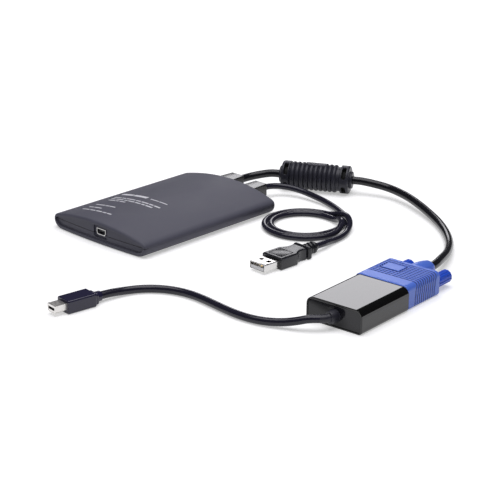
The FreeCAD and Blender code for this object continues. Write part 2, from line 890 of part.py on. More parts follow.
def leads():
    """The routes of the free leads. Each leaves its gland, relief or choke by a straight run."""
    boss_end = "(adapter_length + hood_length + boss_length)"
    gland_x, gland_end = "vga_gland_x", f"{END_FACE} + vga_gland_reach"
    tube(
        "vga_cord_lead",
        [
            spot("console", gland_x, gland_end, "gland_z"),
            spot("console", gland_x, f"{gland_end} + lead_straight", "gland_z"),
            Vector(-6.3, 86.2, 7.4),
            Vector(-2.4, 91.6, 8.3),
            spot("choke", "0", "-lead_straight", CHOKE_AXIS),
            spot("choke", "0", "0", CHOKE_AXIS),
        ],
        "vga_cord_diameter",
    )
    inside = group("ChokeCordSeat", rod("ChokeCord", "vga_cord_diameter / 2", "choke_length", along="Y"))
    keep(place(inside, "choke", z=CHOKE_AXIS), "vga_cord_in_choke")
    tube(
        "vga_cord",
        [
            spot("choke", "0", "choke_length", CHOKE_AXIS),
            spot("choke", "0", "choke_length + lead_straight", CHOKE_AXIS),
            Vector(62.4, 127.6, 8.0),
            Vector(70.5, 130.0, 7.1),
            Vector(80.0, 129.6, 6.4),
            Vector(91.0, 126.9, 5.9),
            Vector(103.1, 122.0, 5.2),
            Vector(115.2, 116.4, 4.2),
            Vector(126.6, 110.2, 3.5),
            Vector(136.9, 102.9, 3.1),
            Vector(146.1, 94.9, 2.95),
            Vector(154.3, 86.1, 3.1),
            Vector(161.6, 76.2, 3.75),
            Vector(168.2, 64.9, 4.95),
            Vector(173.3, 53.1, 6.45),
            spot("adapter", "0", f"{boss_end} + lead_straight", "boss_z"),
            spot("adapter", "0", boss_end, "boss_z"),
        ],
        "vga_cord_diameter",
    )
    gland_x, gland_end = "usb_gland_x", f"{END_FACE} + usb_gland_reach"
    tube(
        "usb_cord_lead",
        [
            spot("console", gland_x, gland_end, "gland_z"),
            spot("console", gland_x, f"{gland_end} + lead_straight", "gland_z"),
            Vector(17.9, 85.0, 6.4),
            Vector(24.6, 89.3, 5.6),
            Vector(33.4, 91.2, 4.6),
            Vector(42.8, 91.0, 3.7),
            Vector(52.5, 90.2, 2.9),
            Vector(62.0, 87.4, 2.4),
            Vector(70.0, 84.0, 2.2),
            Vector(77.2, 80.05, 2.2),
        ],
        "usb_cord_diameter",
    )
    coil = body("UsbCoil", "coil")
    drawing = sketch(coil, "XZ")
    outline(
        drawing,
        rounded("coil_inner_radius", "0", "coil_outer_radius", "coil_height", "coil_round", "coil_round"),
    )
    turned(coil, drawing)
    keep(coil, "usb_coil")
    tube(
        "usb_cord_tail",
        [
            Vector(100.55, 44.0, 2.2),
            Vector(101.3, 39.2, 2.4),
            Vector(102.3, 34.3, 3.0),
            spot("usba", "0", f"{USBA_END} + lead_straight", USBA_AXIS),
            spot("usba", "0", USBA_END, USBA_AXIS),
        ],
        "usb_cord_diameter",
    )
    turn = "(relief_turn * 1deg)"
    exit_x = f"(relief_x - relief_bend * (1 - cos{turn}))"
    exit_y = f"(-relief_root_length - relief_bend * sin{turn})"
    straight_x, straight_y = f"{exit_x} - lead_straight * sin{turn}", f"{exit_y} - lead_straight * cos{turn}"
    tube(
        "mdp_cord",
        [
            spot("adapter", exit_x, exit_y, "adapter_height / 2"),
            spot("adapter", straight_x, straight_y, "adapter_height / 2"),
            Vector(174.9, -71.3, 5.6),
            Vector(168.0, -74.9, 3.7),
            Vector(159.6, -79.0, 2.7),
            Vector(150.0, -81.9, 2.4),
            Vector(138.5, -82.8, 2.4),
            Vector(126.0, -81.7, 2.4),
            Vector(113.5, -80.1, 2.4),
            Vector(102.0, -79.7, 2.4),
            Vector(91.6, -81.9, 2.4),
            Vector(82.9, -86.5, 2.4),
            Vector(76.2, -93.2, 2.4),
            Vector(72.2, -101.6, 2.6),
            spot("mdp", "0", f"{MDP_END} + lead_straight", "mdp_cord_z"),
            spot("mdp", "0", MDP_END, "mdp_cord_z"),
        ],
        "mdp_cord_diameter",
    )


# ---------------------------------------------------------------- ferrite choke
CHOKE_AXIS = "choke_diameter / 2"


def choke():
    """A ferrite core, overmoulded in black plastic with ribs between two plain bands."""
    owner = body("ChokeOvermould")
    full, collar, step = "(choke_diameter / 2)", "(choke_collar_diameter / 2)", "choke_collar_length"
    drawing = sketch(owner, "XY")
    outline(
        drawing,
        [
            ("0", "0"),
            (collar, "0"),
            (collar, step),
            (f"{full} - choke_edge", step),
            (full, f"{step} + choke_edge"),
            (full, f"choke_length - {step} - choke_edge"),
            (f"{full} - choke_edge", f"choke_length - {step}"),
            (collar, f"choke_length - {step}"),
            (collar, "choke_length"),
            ("0", "choke_length"),
        ],
    )
    turned(owner, drawing)
    ribbed = f"(choke_length - 2 * {step} - choke_band_length - choke_far_band)"
    pitch = f"(({ribbed} - choke_groove_width) / choke_rib_count)"
    begin = f"({step} + choke_band_length)"
    drawing = sketch(owner, "XY")
    outline(
        drawing,
        rectangle(
            f"{full} - choke_groove_depth",
            begin,
            f"{full} + choke_groove_depth",
            f"{begin} + choke_groove_width",
        ),
    )
    groove = turned(owner, drawing, "PartDesign::Groove")
    row(owner, [groove], "choke_rib_count + 1", pitch)
    drawing = sketch(owner, "XY", f"{full} - choke_window_depth")
    margin = f"({step} + choke_edge + choke_window_margin)"
    half = "choke_window_width / 2"
    for low in (margin, f"choke_length - {margin} - choke_window_length"):
        outline(drawing, rectangle(f"-{half}", low, half, f"{low} + choke_window_length"))
    windows = pocket(owner, drawing, "choke_window_depth")
    ring(owner, [windows], "choke_window_count")
    owner.Placement.Rotation = FreeCAD.Rotation(Vector(0, 1, 0), 45)
    bind(owner, Placement__Rotation__Angle="choke_window_turn")
    seat = f"({full} - choke_groove_depth - choke_hole_depth)"
    plate = block(
        "ChokePlate",
        "choke_plate_width",
        "choke_plate_length",
        f"{full} + choke_plate_proud - {seat}",
        "0",
        "choke_plate_start",
        seat,
    )
    hole_x, hole_z = "(choke_plate_width / 2 - choke_hole_inset)", f"({full} - choke_hole_depth)"
    near, far = "choke_plate_start + choke_hole_inset", "choke_plate_start + choke_plate_length - choke_hole_inset"
    deep = "2 * choke_hole_depth"
    holes = [
        rod(f"PlateHole{end}", "choke_hole_radius", deep, hole_x, y, hole_z)
        for end, y in (("Near", near), ("Far", far))
    ]
    core_from = "(choke_length - choke_core_length) / 2"
    core_radius, bore_radius = "choke_core_diameter / 2", "vga_cord_diameter / 2 + choke_bore_clearance"
    core_space = rod(
        "CoreSpace", f"{core_radius} + choke_core_clearance", "choke_core_length", y=core_from, along="Y"
    )
    bore = rod("ChokeBore", bore_radius, "choke_length", along="Y")
    shell = cut("ChokeShell", fuse("ChokeSolid", owner, plate), core_space, bore, *holes)
    keep(place(shell, "choke", z=CHOKE_AXIS), "choke_overmould")
    core = rod("CoreBlank", core_radius, "choke_core_length", y=core_from, along="Y")
    core_bore = rod("CoreBore", bore_radius, "choke_length", along="Y")
    keep(place(cut("ChokeCore", core, core_bore), "choke", z=CHOKE_AXIS), "choke_core")


# ---------------------------------------------------------------- adapter
ADAPTER_AXIS = "adapter_height / 2"
HOOD_REAR = "(adapter_length + hood_length)"
SOCKET_FACE = "(adapter_length - dsub_face_gap - dsub_depth)"  # front of the socket's flange
INSULATOR_BACK = f"({SOCKET_FACE} - dsub_flange_metal - insulator_pocket)"


def adapter_section(inset="0"):
    """The adapter seen from its end: nearly flat above, with well rounded upper corners."""
    half = f"(adapter_width / 2 - ({inset}))"
    return rounded(
        f"-{half}",
        inset,
        half,
        f"(adapter_height - ({inset}))",
        f"(adapter_foot_round - ({inset}) / 2)",
        f"(adapter_top_round - ({inset}) / 2)",
    )


def adapter_housing():
    """A glossy sleeve, open at both ends, and the satin cap that plugs its lead end."""
    sleeve = body("Sleeve", "adapter")
    drawing = sketch(sleeve, "XZ", "adapter_cap")
    outline(drawing, adapter_section())
    outline(drawing, adapter_section("adapter_wall"))
    pad(sleeve, drawing, "adapter_length - adapter_cap")
    keep(sleeve, "adapter_sleeve")
    cap = body("Cap", "adapter")
    drawing = sketch(cap, "XZ")
    outline(drawing, adapter_section())
    pad(cap, drawing, "adapter_cap")
    inset = "adapter_wall + cap_clearance"
    drawing = sketch(cap, "XZ", "adapter_cap")
    outline(drawing, adapter_section(inset))
    outline(drawing, adapter_section(f"{inset} + cap_plug_wall"))
    pad(cap, drawing, "cap_plug_depth")
    drawing = sketch(cap, "XZ")
    circle(drawing, "relief_x", ADAPTER_AXIS, "relief_radius")
    pocket(cap, drawing, "adapter_cap")
    keep(cap, "adapter_end_cap")


def adapter_relief():
    """The rubber strain relief: barbed behind the cap and bent round with the lead."""
    root = body("ReliefRoot")
    drawing = sketch(root, "XY")
    outline(
        drawing,
        [
            ("0", "-relief_root_length"),
            ("relief_radius", "-relief_root_length"),
            ("relief_root_radius", "0"),
            ("relief_radius", "0"),
            ("relief_radius", "adapter_cap"),
            ("relief_barb_radius", "adapter_cap"),
            ("relief_barb_radius", "adapter_cap + relief_barb_length"),
            ("0", "adapter_cap + relief_barb_length"),
        ],
    )
    turned(root, drawing)
    bend = doc.addObject("Part::Torus", "ReliefBend")
    bind(
        bend,
        Radius1="relief_bend",
        Radius2="relief_radius",
        Angle3="relief_turn",
        Placement__Base__x="-relief_bend",
        Placement__Base__y="-relief_root_length",
        Placement__Rotation__Angle="-relief_turn",
    )
    relief = fuse("Relief", root, bend)
    keep(place(relief, "adapter", "relief_x", "0", ADAPTER_AXIS), "adapter_strain_relief")


def adapter_electronics():
    """The converter board, soldered to the back of the VGA socket, with its chip."""
    front = "(adapter_cap + relief_barb_length + board_margin)"
    board = block(
        "AdapterBoard",
        "adapter_board_width",
        f"{INSULATOR_BACK} - {front}",
        "adapter_board_thickness",
        "0",
        front,
        "connector_z - adapter_board_thickness / 2",
    )
    keep(place(group("AdapterBoardSeat", board), "adapter"), "adapter_board")
    chip = block(
        "Converter",
        "converter_width",
        "converter_width",
        "converter_height",
        "0",
        f"({front} + {INSULATOR_BACK} - converter_width) / 2",
        "connector_z + adapter_board_thickness / 2",
    )
    keep(place(group("ConverterSeat", chip), "adapter"), "converter_chip")


# ---------------------------------------------------------------- VGA socket and plug
def dsub(grow="0"):
    """The D-shaped outline of the connector, wide side up, grown all round."""
    wide = f"(dsub_width / 2 + ({grow}))"
    narrow = f"(dsub_width / 2 - dsub_slant + ({grow}))"
    low = f"(connector_z - dsub_height / 2 - ({grow}))"
    high = f"(connector_z + dsub_height / 2 + ({grow}))"
    turn, lean = "(dsub_round)", "(dsub_slant * dsub_round / dsub_height)"
    bow = f"({turn} * 0.3)"
    return [
        (f"-{narrow} + {turn}", low),
        (f"{narrow} - {turn}", low, bow),
        (f"{narrow} + {lean}", f"{low} + {turn}"),
        (f"{wide} - {lean}", f"{high} - {turn}", bow),
        (f"{wide} - {turn}", high),
        (f"-{wide} + {turn}", high, bow),
        (f"-{wide} + {lean}", f"{high} - {turn}"),
        (f"-{narrow} - {lean}", f"{low} + {turn}", bow),
    ]


def contacts():
    """The fifteen contact places: three rows of five, the middle row shifted by half a pitch."""
    for line in (-1, 0, 1):
        for column in range(-2, 3):
            x = f"{column} * contact_pitch + {line % 2} * contact_pitch / 2 - contact_pitch / 4"
            yield x, f"connector_z + {line} * contact_row_pitch"


def flange_outline(drawing, bore):
    """The flange of a VGA connector with its two screw holes."""
    wide, tall = "dsub_flange_width / 2", "dsub_flange_height / 2"
    outline(
        drawing,
        rectangle(f"-{wide}", f"connector_z - {tall}", wide, f"connector_z + {tall}"),
    )
    for side in ("-screw_pitch / 2", "screw_pitch / 2"):
        circle(drawing, side, "connector_z", bore)


def vga_socket():
    """The adapter's socket: steel shell, insulator with fifteen holes, and two hexagon nuts."""
    outer, inner = "-dsub_clearance", "-dsub_clearance - dsub_metal"
    shell = body("SocketShell", "adapter")
    drawing = sketch(shell, "XZ", f"{SOCKET_FACE} - dsub_flange_metal")
    flange_outline(drawing, "shank_radius + shank_clearance")
    outline(drawing, dsub(inner))
    pad(shell, drawing, "dsub_flange_metal")
    drawing = sketch(shell, "XZ", SOCKET_FACE)
    outline(drawing, dsub(outer))
    outline(drawing, dsub(inner))
    pad(shell, drawing, "dsub_depth")
    keep(shell, "vga_socket_shell")
    insulator = body("SocketInsulator", "adapter")
    drawing = sketch(insulator, "XZ", INSULATOR_BACK)
    outline(drawing, dsub(inner))
    pad(insulator, drawing, "insulator_pocket + dsub_flange_metal + dsub_depth - dsub_face_gap")
    drawing = sketch(insulator, "XZ", SOCKET_FACE)
    for x, z in contacts():
        circle(drawing, x, z, "contact_radius + contact_bore_clearance")
    pocket(insulator, drawing, "dsub_depth")
    keep(insulator, "vga_socket_insulator")
    nuts = []
    for name, side in (("left", "-screw_pitch / 2"), ("right", "screw_pitch / 2")):
        nut = doc.addObject("Part::Prism", f"Nut{name}")
        nut.Polygon = 6
        nut.Placement.Rotation = FreeCAD.Rotation(Vector(1, 0, 0), -90)
        bind(
            nut,
            Circumradius="nut_radius",
            Height="nut_length",
            Placement__Base__x=side,
            Placement__Base__y=SOCKET_FACE,
            Placement__Base__z="connector_z",
        )
        thread = "shank_radius + thread_clearance"
        bore = rod(f"NutBore{name}", thread, "nut_length", side, SOCKET_FACE, "connector_z", "Y")
        nuts.append(cut(f"HexNut{name}", nut, bore))
    keep(place(group("HexNuts", *nuts), "adapter"), "vga_socket_nuts")


def vga_plug():
    """The plug inside the hood: steel shell with its flange, insulator and fifteen pins."""
    shell = body("PlugShell", "adapter")
    drawing = sketch(shell, "XZ", "adapter_length - dsub_depth")
    outline(drawing, dsub("dsub_metal"))
    outline(drawing, dsub())
    pad(shell, drawing, "dsub_depth")
    drawing = sketch(shell, "XZ", "adapter_length")
    flange_outline(drawing, "shank_radius + shank_clearance")
    outline(drawing, dsub())
    pad(shell, drawing, "dsub_flange_metal")
    keep(shell, "vga_plug_shell")
    insulator = body("PlugInsulator", "adapter")
    drawing = sketch(insulator, "XZ", "adapter_length")
    outline(drawing, dsub())
    pad(insulator, drawing, "insulator_pocket")
    drawing = sketch(insulator, "XZ", "adapter_length")
    for x, z in contacts():
        circle(drawing, x, z, "contact_radius")
    pocket(insulator, drawing, "insulator_pocket")
    keep(insulator, "vga_plug_insulator")
    pins = body("PlugPins", "adapter")
    drawing = sketch(pins, "XZ", "adapter_length - pin_reach")
    for x, z in contacts():
        circle(drawing, x, z, "contact_radius")
    pad(pins, drawing, "pin_reach + insulator_pocket")
    keep(pins, "vga_plug_pins")


# ---------------------------------------------------------------- VGA hood and thumbscrews
def hood_section(inset="0"):
    half = f"(hood_width / 2 - ({inset}))"
    return rounded(f"-{half}", inset, half, f"(hood_height - ({inset}))", "hood_foot_round", "hood_top_round")


def vga_hood():
    """The blue PVC hood: smooth bands at both ends, grip grooves round its middle, a bare pad
    on top and a tapered boss for the lead. Two bores let the thumbscrews through."""
    hood = body("Hood")
    drawing = sketch(hood, "XZ", "adapter_length")
    outline(drawing, hood_section())
    pad(hood, drawing, "hood_length")
    drawing = sketch(hood, "XZ", "adapter_length + hood_band_length")
    wide, tall = "(hood_width / 2 + grip_depth)", "(hood_height + grip_depth)"
    outline(drawing, rectangle(f"-{wide}", "-grip_depth", wide, tall))
    outline(drawing, hood_section("grip_depth"))
    grip = pocket(hood, drawing, "grip_width")
    row(hood, [grip], "grip_count", "grip_pitch")
    drawing = sketch(hood, "XY", "boss_z")
    outline(
        drawing,
        [
            ("0", HOOD_REAR),
            ("boss_diameter / 2", HOOD_REAR),
            ("boss_diameter / 2", f"{HOOD_REAR} + boss_straight"),
            ("boss_tip_diameter / 2", f"{HOOD_REAR} + boss_length"),
            ("0", f"{HOOD_REAR} + boss_length"),
        ],
    )
    turned(hood, drawing)
    drawing = sketch(hood, "XY", "hood_height - grip_depth")
    outline(
        drawing,
        rectangle(
            "pad_x - pad_width / 2",
            "pad_y - pad_length / 2",
            "pad_x + pad_width / 2",
            "pad_y + pad_length / 2",
        ),
    )
    pad(hood, drawing, "grip_depth + pad_proud")
    drawing = sketch(hood, "XZ", "adapter_length")
    wide, tall = "dsub_flange_width / 2", "dsub_flange_height / 2"
    outline(
        drawing,
        rectangle(f"-{wide}", f"connector_z - {tall}", wide, f"connector_z + {tall}"),
    )
    pocket(hood, drawing, "dsub_flange_metal")
    drawing = sketch(hood, "XZ", "adapter_length")
    outline(drawing, dsub())
    pocket(hood, drawing, "insulator_pocket")
    drawing = sketch(hood, "XZ", "adapter_length")
    for side in ("-screw_pitch / 2", "screw_pitch / 2"):
        circle(drawing, side, "connector_z", "shank_radius + shank_clearance")
    pocket(hood, drawing, "hood_length")
    keep(place(hood, "adapter"), "vga_hood")


def thumbscrews():
    """Two thumbscrews: a fluted blue knob moulded on a steel shank that ends in the nut."""
    knob_face = f"{HOOD_REAR} + thumbscrew_gap"
    for name, side in (("left", "-screw_pitch / 2"), ("right", "screw_pitch / 2")):
        knob = body(f"Knob{name}", "adapter", side, knob_face, "connector_z")
        drawing = sketch(knob, "XY")
        outline(
            drawing,
            [
                ("0", "shank_grip"),
                ("shank_radius", "shank_grip"),
                ("shank_radius", "0"),
                ("thumbscrew_neck_radius", "0"),
                ("thumbscrew_neck_radius", "thumbscrew_neck_length"),
                ("thumbscrew_radius", "thumbscrew_neck_length"),
                ("thumbscrew_radius", "thumbscrew_length - thumbscrew_taper"),
                ("thumbscrew_radius - thumbscrew_taper", "thumbscrew_length"),
                ("0", "thumbscrew_length"),
            ],
        )
        turned(knob, drawing)
        drawing = sketch(knob, "XZ", "thumbscrew_neck_length")
        circle(drawing, "thumbscrew_radius + flute_radius / 3", "0", "flute_radius")
        flute = pocket(knob, drawing, "thumbscrew_length - thumbscrew_neck_length")
        ring(knob, [flute], "flute_count")
        keep(knob, f"thumbscrew_knob_{name}")
        shank = rod(
            f"Shank{name}",
            "shank_radius",
            "shank_reach + hood_length + thumbscrew_gap + shank_grip",
            side,
            "adapter_length - shank_reach",
            "connector_z",
            "Y",
        )
        keep(place(group(f"ShankSeat{name}", shank), "adapter"), f"thumbscrew_shank_{name}")


# ---------------------------------------------------------------- mini-DisplayPort plug
MDP_AXIS = "mdp_grip_height / 2"
MDP_END = "(mdp_shell_exposed + mdp_grip_length + mdp_collar_length + mdp_sleeve_length)"


def mdp_outline(inset="0"):
    """The plug's opening: a rectangle with its two lower corners cut off."""
    half = f"(mdp_shell_width / 2 - ({inset}))"
    low = f"({MDP_AXIS} - mdp_shell_height / 2 + ({inset}))"
    high = f"({MDP_AXIS} + mdp_shell_height / 2 - ({inset}))"
    corner = f"(mdp_shell_chamfer - ({inset}) * 0.6)"
    return [
        (f"-{half} + {corner}", low),
        (f"{half} - {corner}", low),
        (half, f"{low} + {corner}"),
        (half, high),
        (f"-{half}", high),
        (f"-{half}", f"{low} + {corner}"),
    ]


def mdp_plug():
    """A steel shell and its tongue, seated in a glossy grip with a collar and a round sleeve."""
    shell = body("MdpShell", "mdp")
    drawing = sketch(shell, "XZ")
    outline(drawing, mdp_outline())
    outline(drawing, mdp_outline("mdp_shell_metal"))
    pad(shell, drawing, "mdp_shell_exposed + shell_seat")
    keep(shell, "mdp_shell")
    tongue = block(
        "MdpTongue",
        "mdp_tongue_width",
        "mdp_shell_exposed + shell_seat - tongue_setback",
        "mdp_tongue_height",
        "0",
        "tongue_setback",
        f"{MDP_AXIS} - mdp_tongue_height / 2",
    )
    keep(place(group("MdpTongueSeat", tongue), "mdp"), "mdp_tongue")
    grip = body("MdpGrip", "mdp")
    half, rounding = "(mdp_grip_width / 2)", "mdp_grip_round"
    drawing = sketch(grip, "XZ", "mdp_shell_exposed")
    outline(drawing, rounded(f"-{half}", "0", half, "mdp_grip_height", rounding, rounding))
    pad(grip, drawing, "mdp_grip_length")
    half, tall = "(mdp_collar_width / 2)", "(mdp_collar_height / 2)"
    drawing = sketch(grip, "XZ", "mdp_shell_exposed + mdp_grip_length")
    outline(
        drawing,
        rounded(
            f"-{half}", f"mdp_cord_z - {tall}", half, f"mdp_cord_z + {tall}", rounding, rounding
        ),
    )
    pad(grip, drawing, "mdp_collar_length")
    drawing = sketch(grip, "XZ", "mdp_shell_exposed + mdp_grip_length + mdp_collar_length")
    circle(drawing, "0", "mdp_cord_z", "mdp_sleeve_radius")
    pad(grip, drawing, "mdp_sleeve_length")
    drawing = sketch(grip, "XZ", "mdp_shell_exposed")
    outline(drawing, mdp_outline())
    pocket(grip, drawing, "shell_seat")
    keep(grip, "mdp_overmould")


# ---------------------------------------------------------------- USB-A plug
USBA_AXIS = "usba_grip_height / 2"
USBA_GRIP_END = "(usba_shell_exposed + usba_grip_length)"
USBA_HEEL_END = f"({USBA_GRIP_END} + usba_waist_length + usba_heel_length)"
USBA_END = f"({USBA_HEEL_END} + usba_ring_count * usba_ring_pitch)"


def usba_section(inset="0"):
    half = f"(usba_shell_width / 2 - ({inset}))"
    tall = f"(usba_shell_height / 2 - ({inset}))"
    turn = f"(usba_shell_round - ({inset}) / 2)"
    return rounded(f"-{half}", f"{USBA_AXIS} - {tall}", half, f"{USBA_AXIS} + {tall}", turn, turn)


def usba_plug():
    """A steel shell with two latch windows, an insulator with four contacts, and the grip."""
    reach = "usba_shell_exposed + shell_seat"
    shell = body("UsbaShell", "usba")
    drawing = sketch(shell, "XZ")
    outline(drawing, usba_section())
    outline(drawing, usba_section("usba_shell_metal"))
    pad(shell, drawing, reach)
    drawing = sketch(shell, "XY", f"{USBA_AXIS} + usba_shell_height / 2 - 2 * usba_shell_metal")
    near, half = "(usba_window_y - usba_window_width / 2)", "usba_window_width / 2"
    for middle in ("-usba_window_pitch / 2", "usba_window_pitch / 2"):
        outline(
            drawing,
            rectangle(f"{middle} - {half}", near, f"{middle} + {half}", f"{near} + usba_window_width"),
        )
    pocket(shell, drawing, "3 * usba_shell_metal")
    keep(shell, "usba_shell")
    floor = f"({USBA_AXIS} - usba_shell_height / 2 + usba_shell_metal)"
    insulator = block(
        "UsbaInsulator",
        "usba_shell_width - 2 * usba_shell_metal - 2 * usba_shell_round",
        f"{reach} - tongue_setback",
        "usba_tongue_height",
        "0",
        "tongue_setback",
        floor,
    )
    keep(place(group("UsbaInsulatorSeat", insulator), "usba"), "usba_insulator")
    strips = [
        block(
            f"UsbaContact{i}",
            "usba_contact_width",
            f"{reach} - 2 * tongue_setback",
            "usba_contact_thickness",
            f"({i} - 1.5) * usba_contact_pitch",
            "2 * tongue_setback",
            f"{floor} + usba_tongue_height",
        )
        for i in range(4)
    ]
    keep(place(group("UsbaContacts", *strips), "usba"), "usba_contacts")
    usba_grip()


def usba_grip():
    """The moulded grip: a block for the fingers, a waist, a heel and a ringed strain relief."""
    grip = body("UsbaGrip")
    wide, heel = "(usba_grip_width / 2)", "(usba_heel_width / 2)"
    waist = f"(({wide} + {heel}) / 2 - usba_waist_width / 2)"
    waist_end = f"({USBA_GRIP_END} + usba_waist_length)"
    drawing = sketch(grip, "XY")
    outline(
        drawing,
        [
            (wide, "usba_shell_exposed"),
            (wide, USBA_GRIP_END, f"-{waist}"),
            (heel, waist_end),
            (heel, USBA_HEEL_END),
            (f"-{heel}", USBA_HEEL_END),
            (f"-{heel}", waist_end, f"-{waist}"),
            (f"-{wide}", USBA_GRIP_END),
            (f"-{wide}", "usba_shell_exposed"),
        ],
    )
    pad(grip, drawing, "usba_grip_height")
    top = number("usba_grip_height")
    dress(
        grip,
        "Chamfer",
        "usba_grip_round",
        lambda edge: lowest(edge, "z") > top - TOUCH or highest(edge, "z") < TOUCH,
    )
    drawing = sketch(grip, "XY", "usba_grip_height - usba_frame_depth")
    for inset in ("usba_frame_margin", "(usba_frame_margin + usba_frame_width)"):
        outline(
            drawing,
            rectangle(
                f"-{wide} + {inset}",
                f"usba_shell_exposed + {inset}",
                f"{wide} - {inset}",
                f"{USBA_GRIP_END} - {inset} + usba_frame_margin / 2",
            ),
        )
    pocket(grip, drawing, "usba_frame_depth")
    drawing = sketch(grip, "XZ", "usba_shell_exposed")
    outline(drawing, usba_section())
    pocket(grip, drawing, "shell_seat")
    radius, length = "usba_sleeve_diameter / 2", f"{USBA_END} - {USBA_HEEL_END}"
    sleeve = rod("UsbaSleeve", radius, length, "0", USBA_HEEL_END, USBA_AXIS, "Y")
    rings = [
        rod(
            f"UsbaRing{i}",
            f"(usba_ring_diameter - {i} * usba_ring_shrink) / 2",
            "usba_ring_width",
            "0",
            f"{USBA_HEEL_END} + usba_ring_pitch - usba_ring_width + {i} * usba_ring_pitch",
            USBA_AXIS,
            "Y",
        )
        for i in range(round(number("usba_ring_count")))
    ]
    keep(place(fuse("UsbaOvermould", grip, sleeve, *rings), "usba"), "usba_overmould")


# ---------------------------------------------------------------- the whole part
console_housing()
console_screws()
mini_usb_port()
console_board()
gland("vga_gland", "vga_gland_x", "vga_gland_width", "vga_gland_reach")
gland("usb_gland", "usb_gland_x", "usb_gland_width", "usb_gland_reach")
choke()
adapter_housing()
adapter_relief()
adapter_electronics()
vga_socket()
vga_plug()
vga_hood()
thumbscrews()
mdp_plug()
usba_plug()
leads()
doc.recompute()

for thing in doc.Objects:
    if {"Invalid", "Error"} & set(thing.State):
        raise RuntimeError(f"{thing.Label} failed: {thing.State}")
for label, thing in nodes.items():
    if thing.Shape.isNull() or not thing.Shape.isValid() or not thing.Shape.Solids:
        raise RuntimeError(f"{label} has no valid solid")

os.makedirs("parts", exist_ok=True)
for label, thing in nodes.items():
    thing.Shape.exportStep(os.path.join("parts", f"{label}.step"))
print(f"{len(nodes)} sub-parts")
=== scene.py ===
import json
import math

import bmesh
import bpy
from mathutils import Matrix, Vector
from mathutils.bvhtree import BVHTree


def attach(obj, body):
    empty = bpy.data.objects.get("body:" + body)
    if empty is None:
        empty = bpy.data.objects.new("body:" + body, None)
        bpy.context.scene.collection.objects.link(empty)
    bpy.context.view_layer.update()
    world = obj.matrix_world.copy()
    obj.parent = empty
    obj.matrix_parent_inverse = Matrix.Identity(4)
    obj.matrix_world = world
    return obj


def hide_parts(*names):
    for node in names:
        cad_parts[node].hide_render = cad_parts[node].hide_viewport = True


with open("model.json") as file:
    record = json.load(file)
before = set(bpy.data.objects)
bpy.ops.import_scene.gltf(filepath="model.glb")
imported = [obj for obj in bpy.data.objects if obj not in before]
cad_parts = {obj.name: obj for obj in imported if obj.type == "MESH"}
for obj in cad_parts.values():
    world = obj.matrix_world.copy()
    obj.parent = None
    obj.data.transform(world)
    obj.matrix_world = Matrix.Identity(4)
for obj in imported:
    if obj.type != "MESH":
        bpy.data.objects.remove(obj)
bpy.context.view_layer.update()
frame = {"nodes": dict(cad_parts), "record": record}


# ---------------------------------------------------------------- camera
# A long lens a little over a metre away, looking down at the console and its spread leads from the
# side where the plugs lie.
def placed(name, data):
    """A new object in the scene that holds a mesh, a curve, a lamp or a lens."""
    made = bpy.data.objects.new(name, data)
    bpy.context.scene.collection.objects.link(made)
    return made


aim, distance = Vector((0.07293, -0.00142, 0.0)), 1.09374
azimuth, elevation, roll = math.radians(43.05), math.radians(20.67), math.radians(0.59)
level_share = math.cos(elevation)
back = Vector((math.sin(azimuth) * level_share, -math.cos(azimuth) * level_share, math.sin(elevation)))
level = Vector((math.cos(azimuth), math.sin(azimuth), 0.0))
across = level * math.cos(roll) + back.cross(level) * math.sin(roll)
turned = Matrix((across, back.cross(across), back)).transposed().to_4x4()
lens = bpy.data.cameras.new("camera")
lens.lens, lens.sensor_width, lens.clip_end = 132.47, 36.0, 20.0
camera = placed("camera", lens)
camera.matrix_world = Matrix.Translation(aim + back * distance) @ turned
bpy.context.scene.camera = camera


# ---------------------------------------------------------------- studio
# White paper under one large soft lamp overhead, with a small bright one low behind the object,
# which level tops mirror. The paper shows white and keeps the soft shadows close to the pieces.
def colour(code):
    """The linear colour of an sRGB hex value."""
    parts = [int(code[i : i + 2], 16) / 255 for i in (1, 3, 5)]
    return [c / 12.92 if c <= 0.04045 else ((c + 0.055) / 1.055) ** 2.4 for c in parts] + [1.0]


def add(tree, kind, wires=None, **settings):
    """Adds a node. Settings are its own values; wires give its inputs a value, a socket, or a node,
    which stands for its first output."""
    made = tree.nodes.new(kind)
    for name, value in settings.items():
        setattr(made, name, value)
    for name, source in (wires or {}).items():
        if isinstance(source, bpy.types.Node):
            source = source.outputs[0]
        if isinstance(source, bpy.types.NodeSocket):
            tree.links.new(source, made.inputs[name])
        else:
            made.inputs[name].default_value = source
    return made


def finish_named(name):
    """A new material, its tree and the place on a piece that its patterns follow, in metres."""
    made = bpy.data.materials.new(name)
    made.use_nodes = True
    tree = made.node_tree
    tree.nodes.clear()
    return made, tree, add(tree, "ShaderNodeTexCoord").outputs["Object"]


# Matt white paper: it glows for the eye and for reflections, brighter away from the object, and
# lights nothing else.
paper, tree, place = finish_named("white_paper")
glow_middle = (0.08, -0.01, 0.0)
rays = add(tree, "ShaderNodeLightPath")
seen = add(
    tree,
    "ShaderNodeMath",
    {0: rays.outputs["Is Camera Ray"], 1: rays.outputs["Is Glossy Ray"]},
    operation="MAXIMUM",
)
seen = add(tree, "ShaderNodeMath", {0: seen, 1: rays.outputs["Is Transmission Ray"]}, operation="MAXIMUM")
away = add(tree, "ShaderNodeVectorMath", {0: place, 1: glow_middle}, operation="DISTANCE").outputs["Value"]
wide = add(
    tree,
    "ShaderNodeMapRange",
    {"Value": away, "From Min": 0.12, "From Max": 0.34, "To Min": 0.42, "To Max": 1.05},
    interpolation_type="SMOOTHSTEP",
)
glow = add(tree, "ShaderNodeMath", {0: seen, 1: wide}, operation="MULTIPLY")
lit = add(tree, "ShaderNodeBsdfDiffuse", {"Color": colour("#e6e6e6")})
shine = add(tree, "ShaderNodeEmission", {"Color": colour("#ffffff"), "Strength": glow})
both = add(tree, "ShaderNodeAddShader", {0: lit, 1: shine})
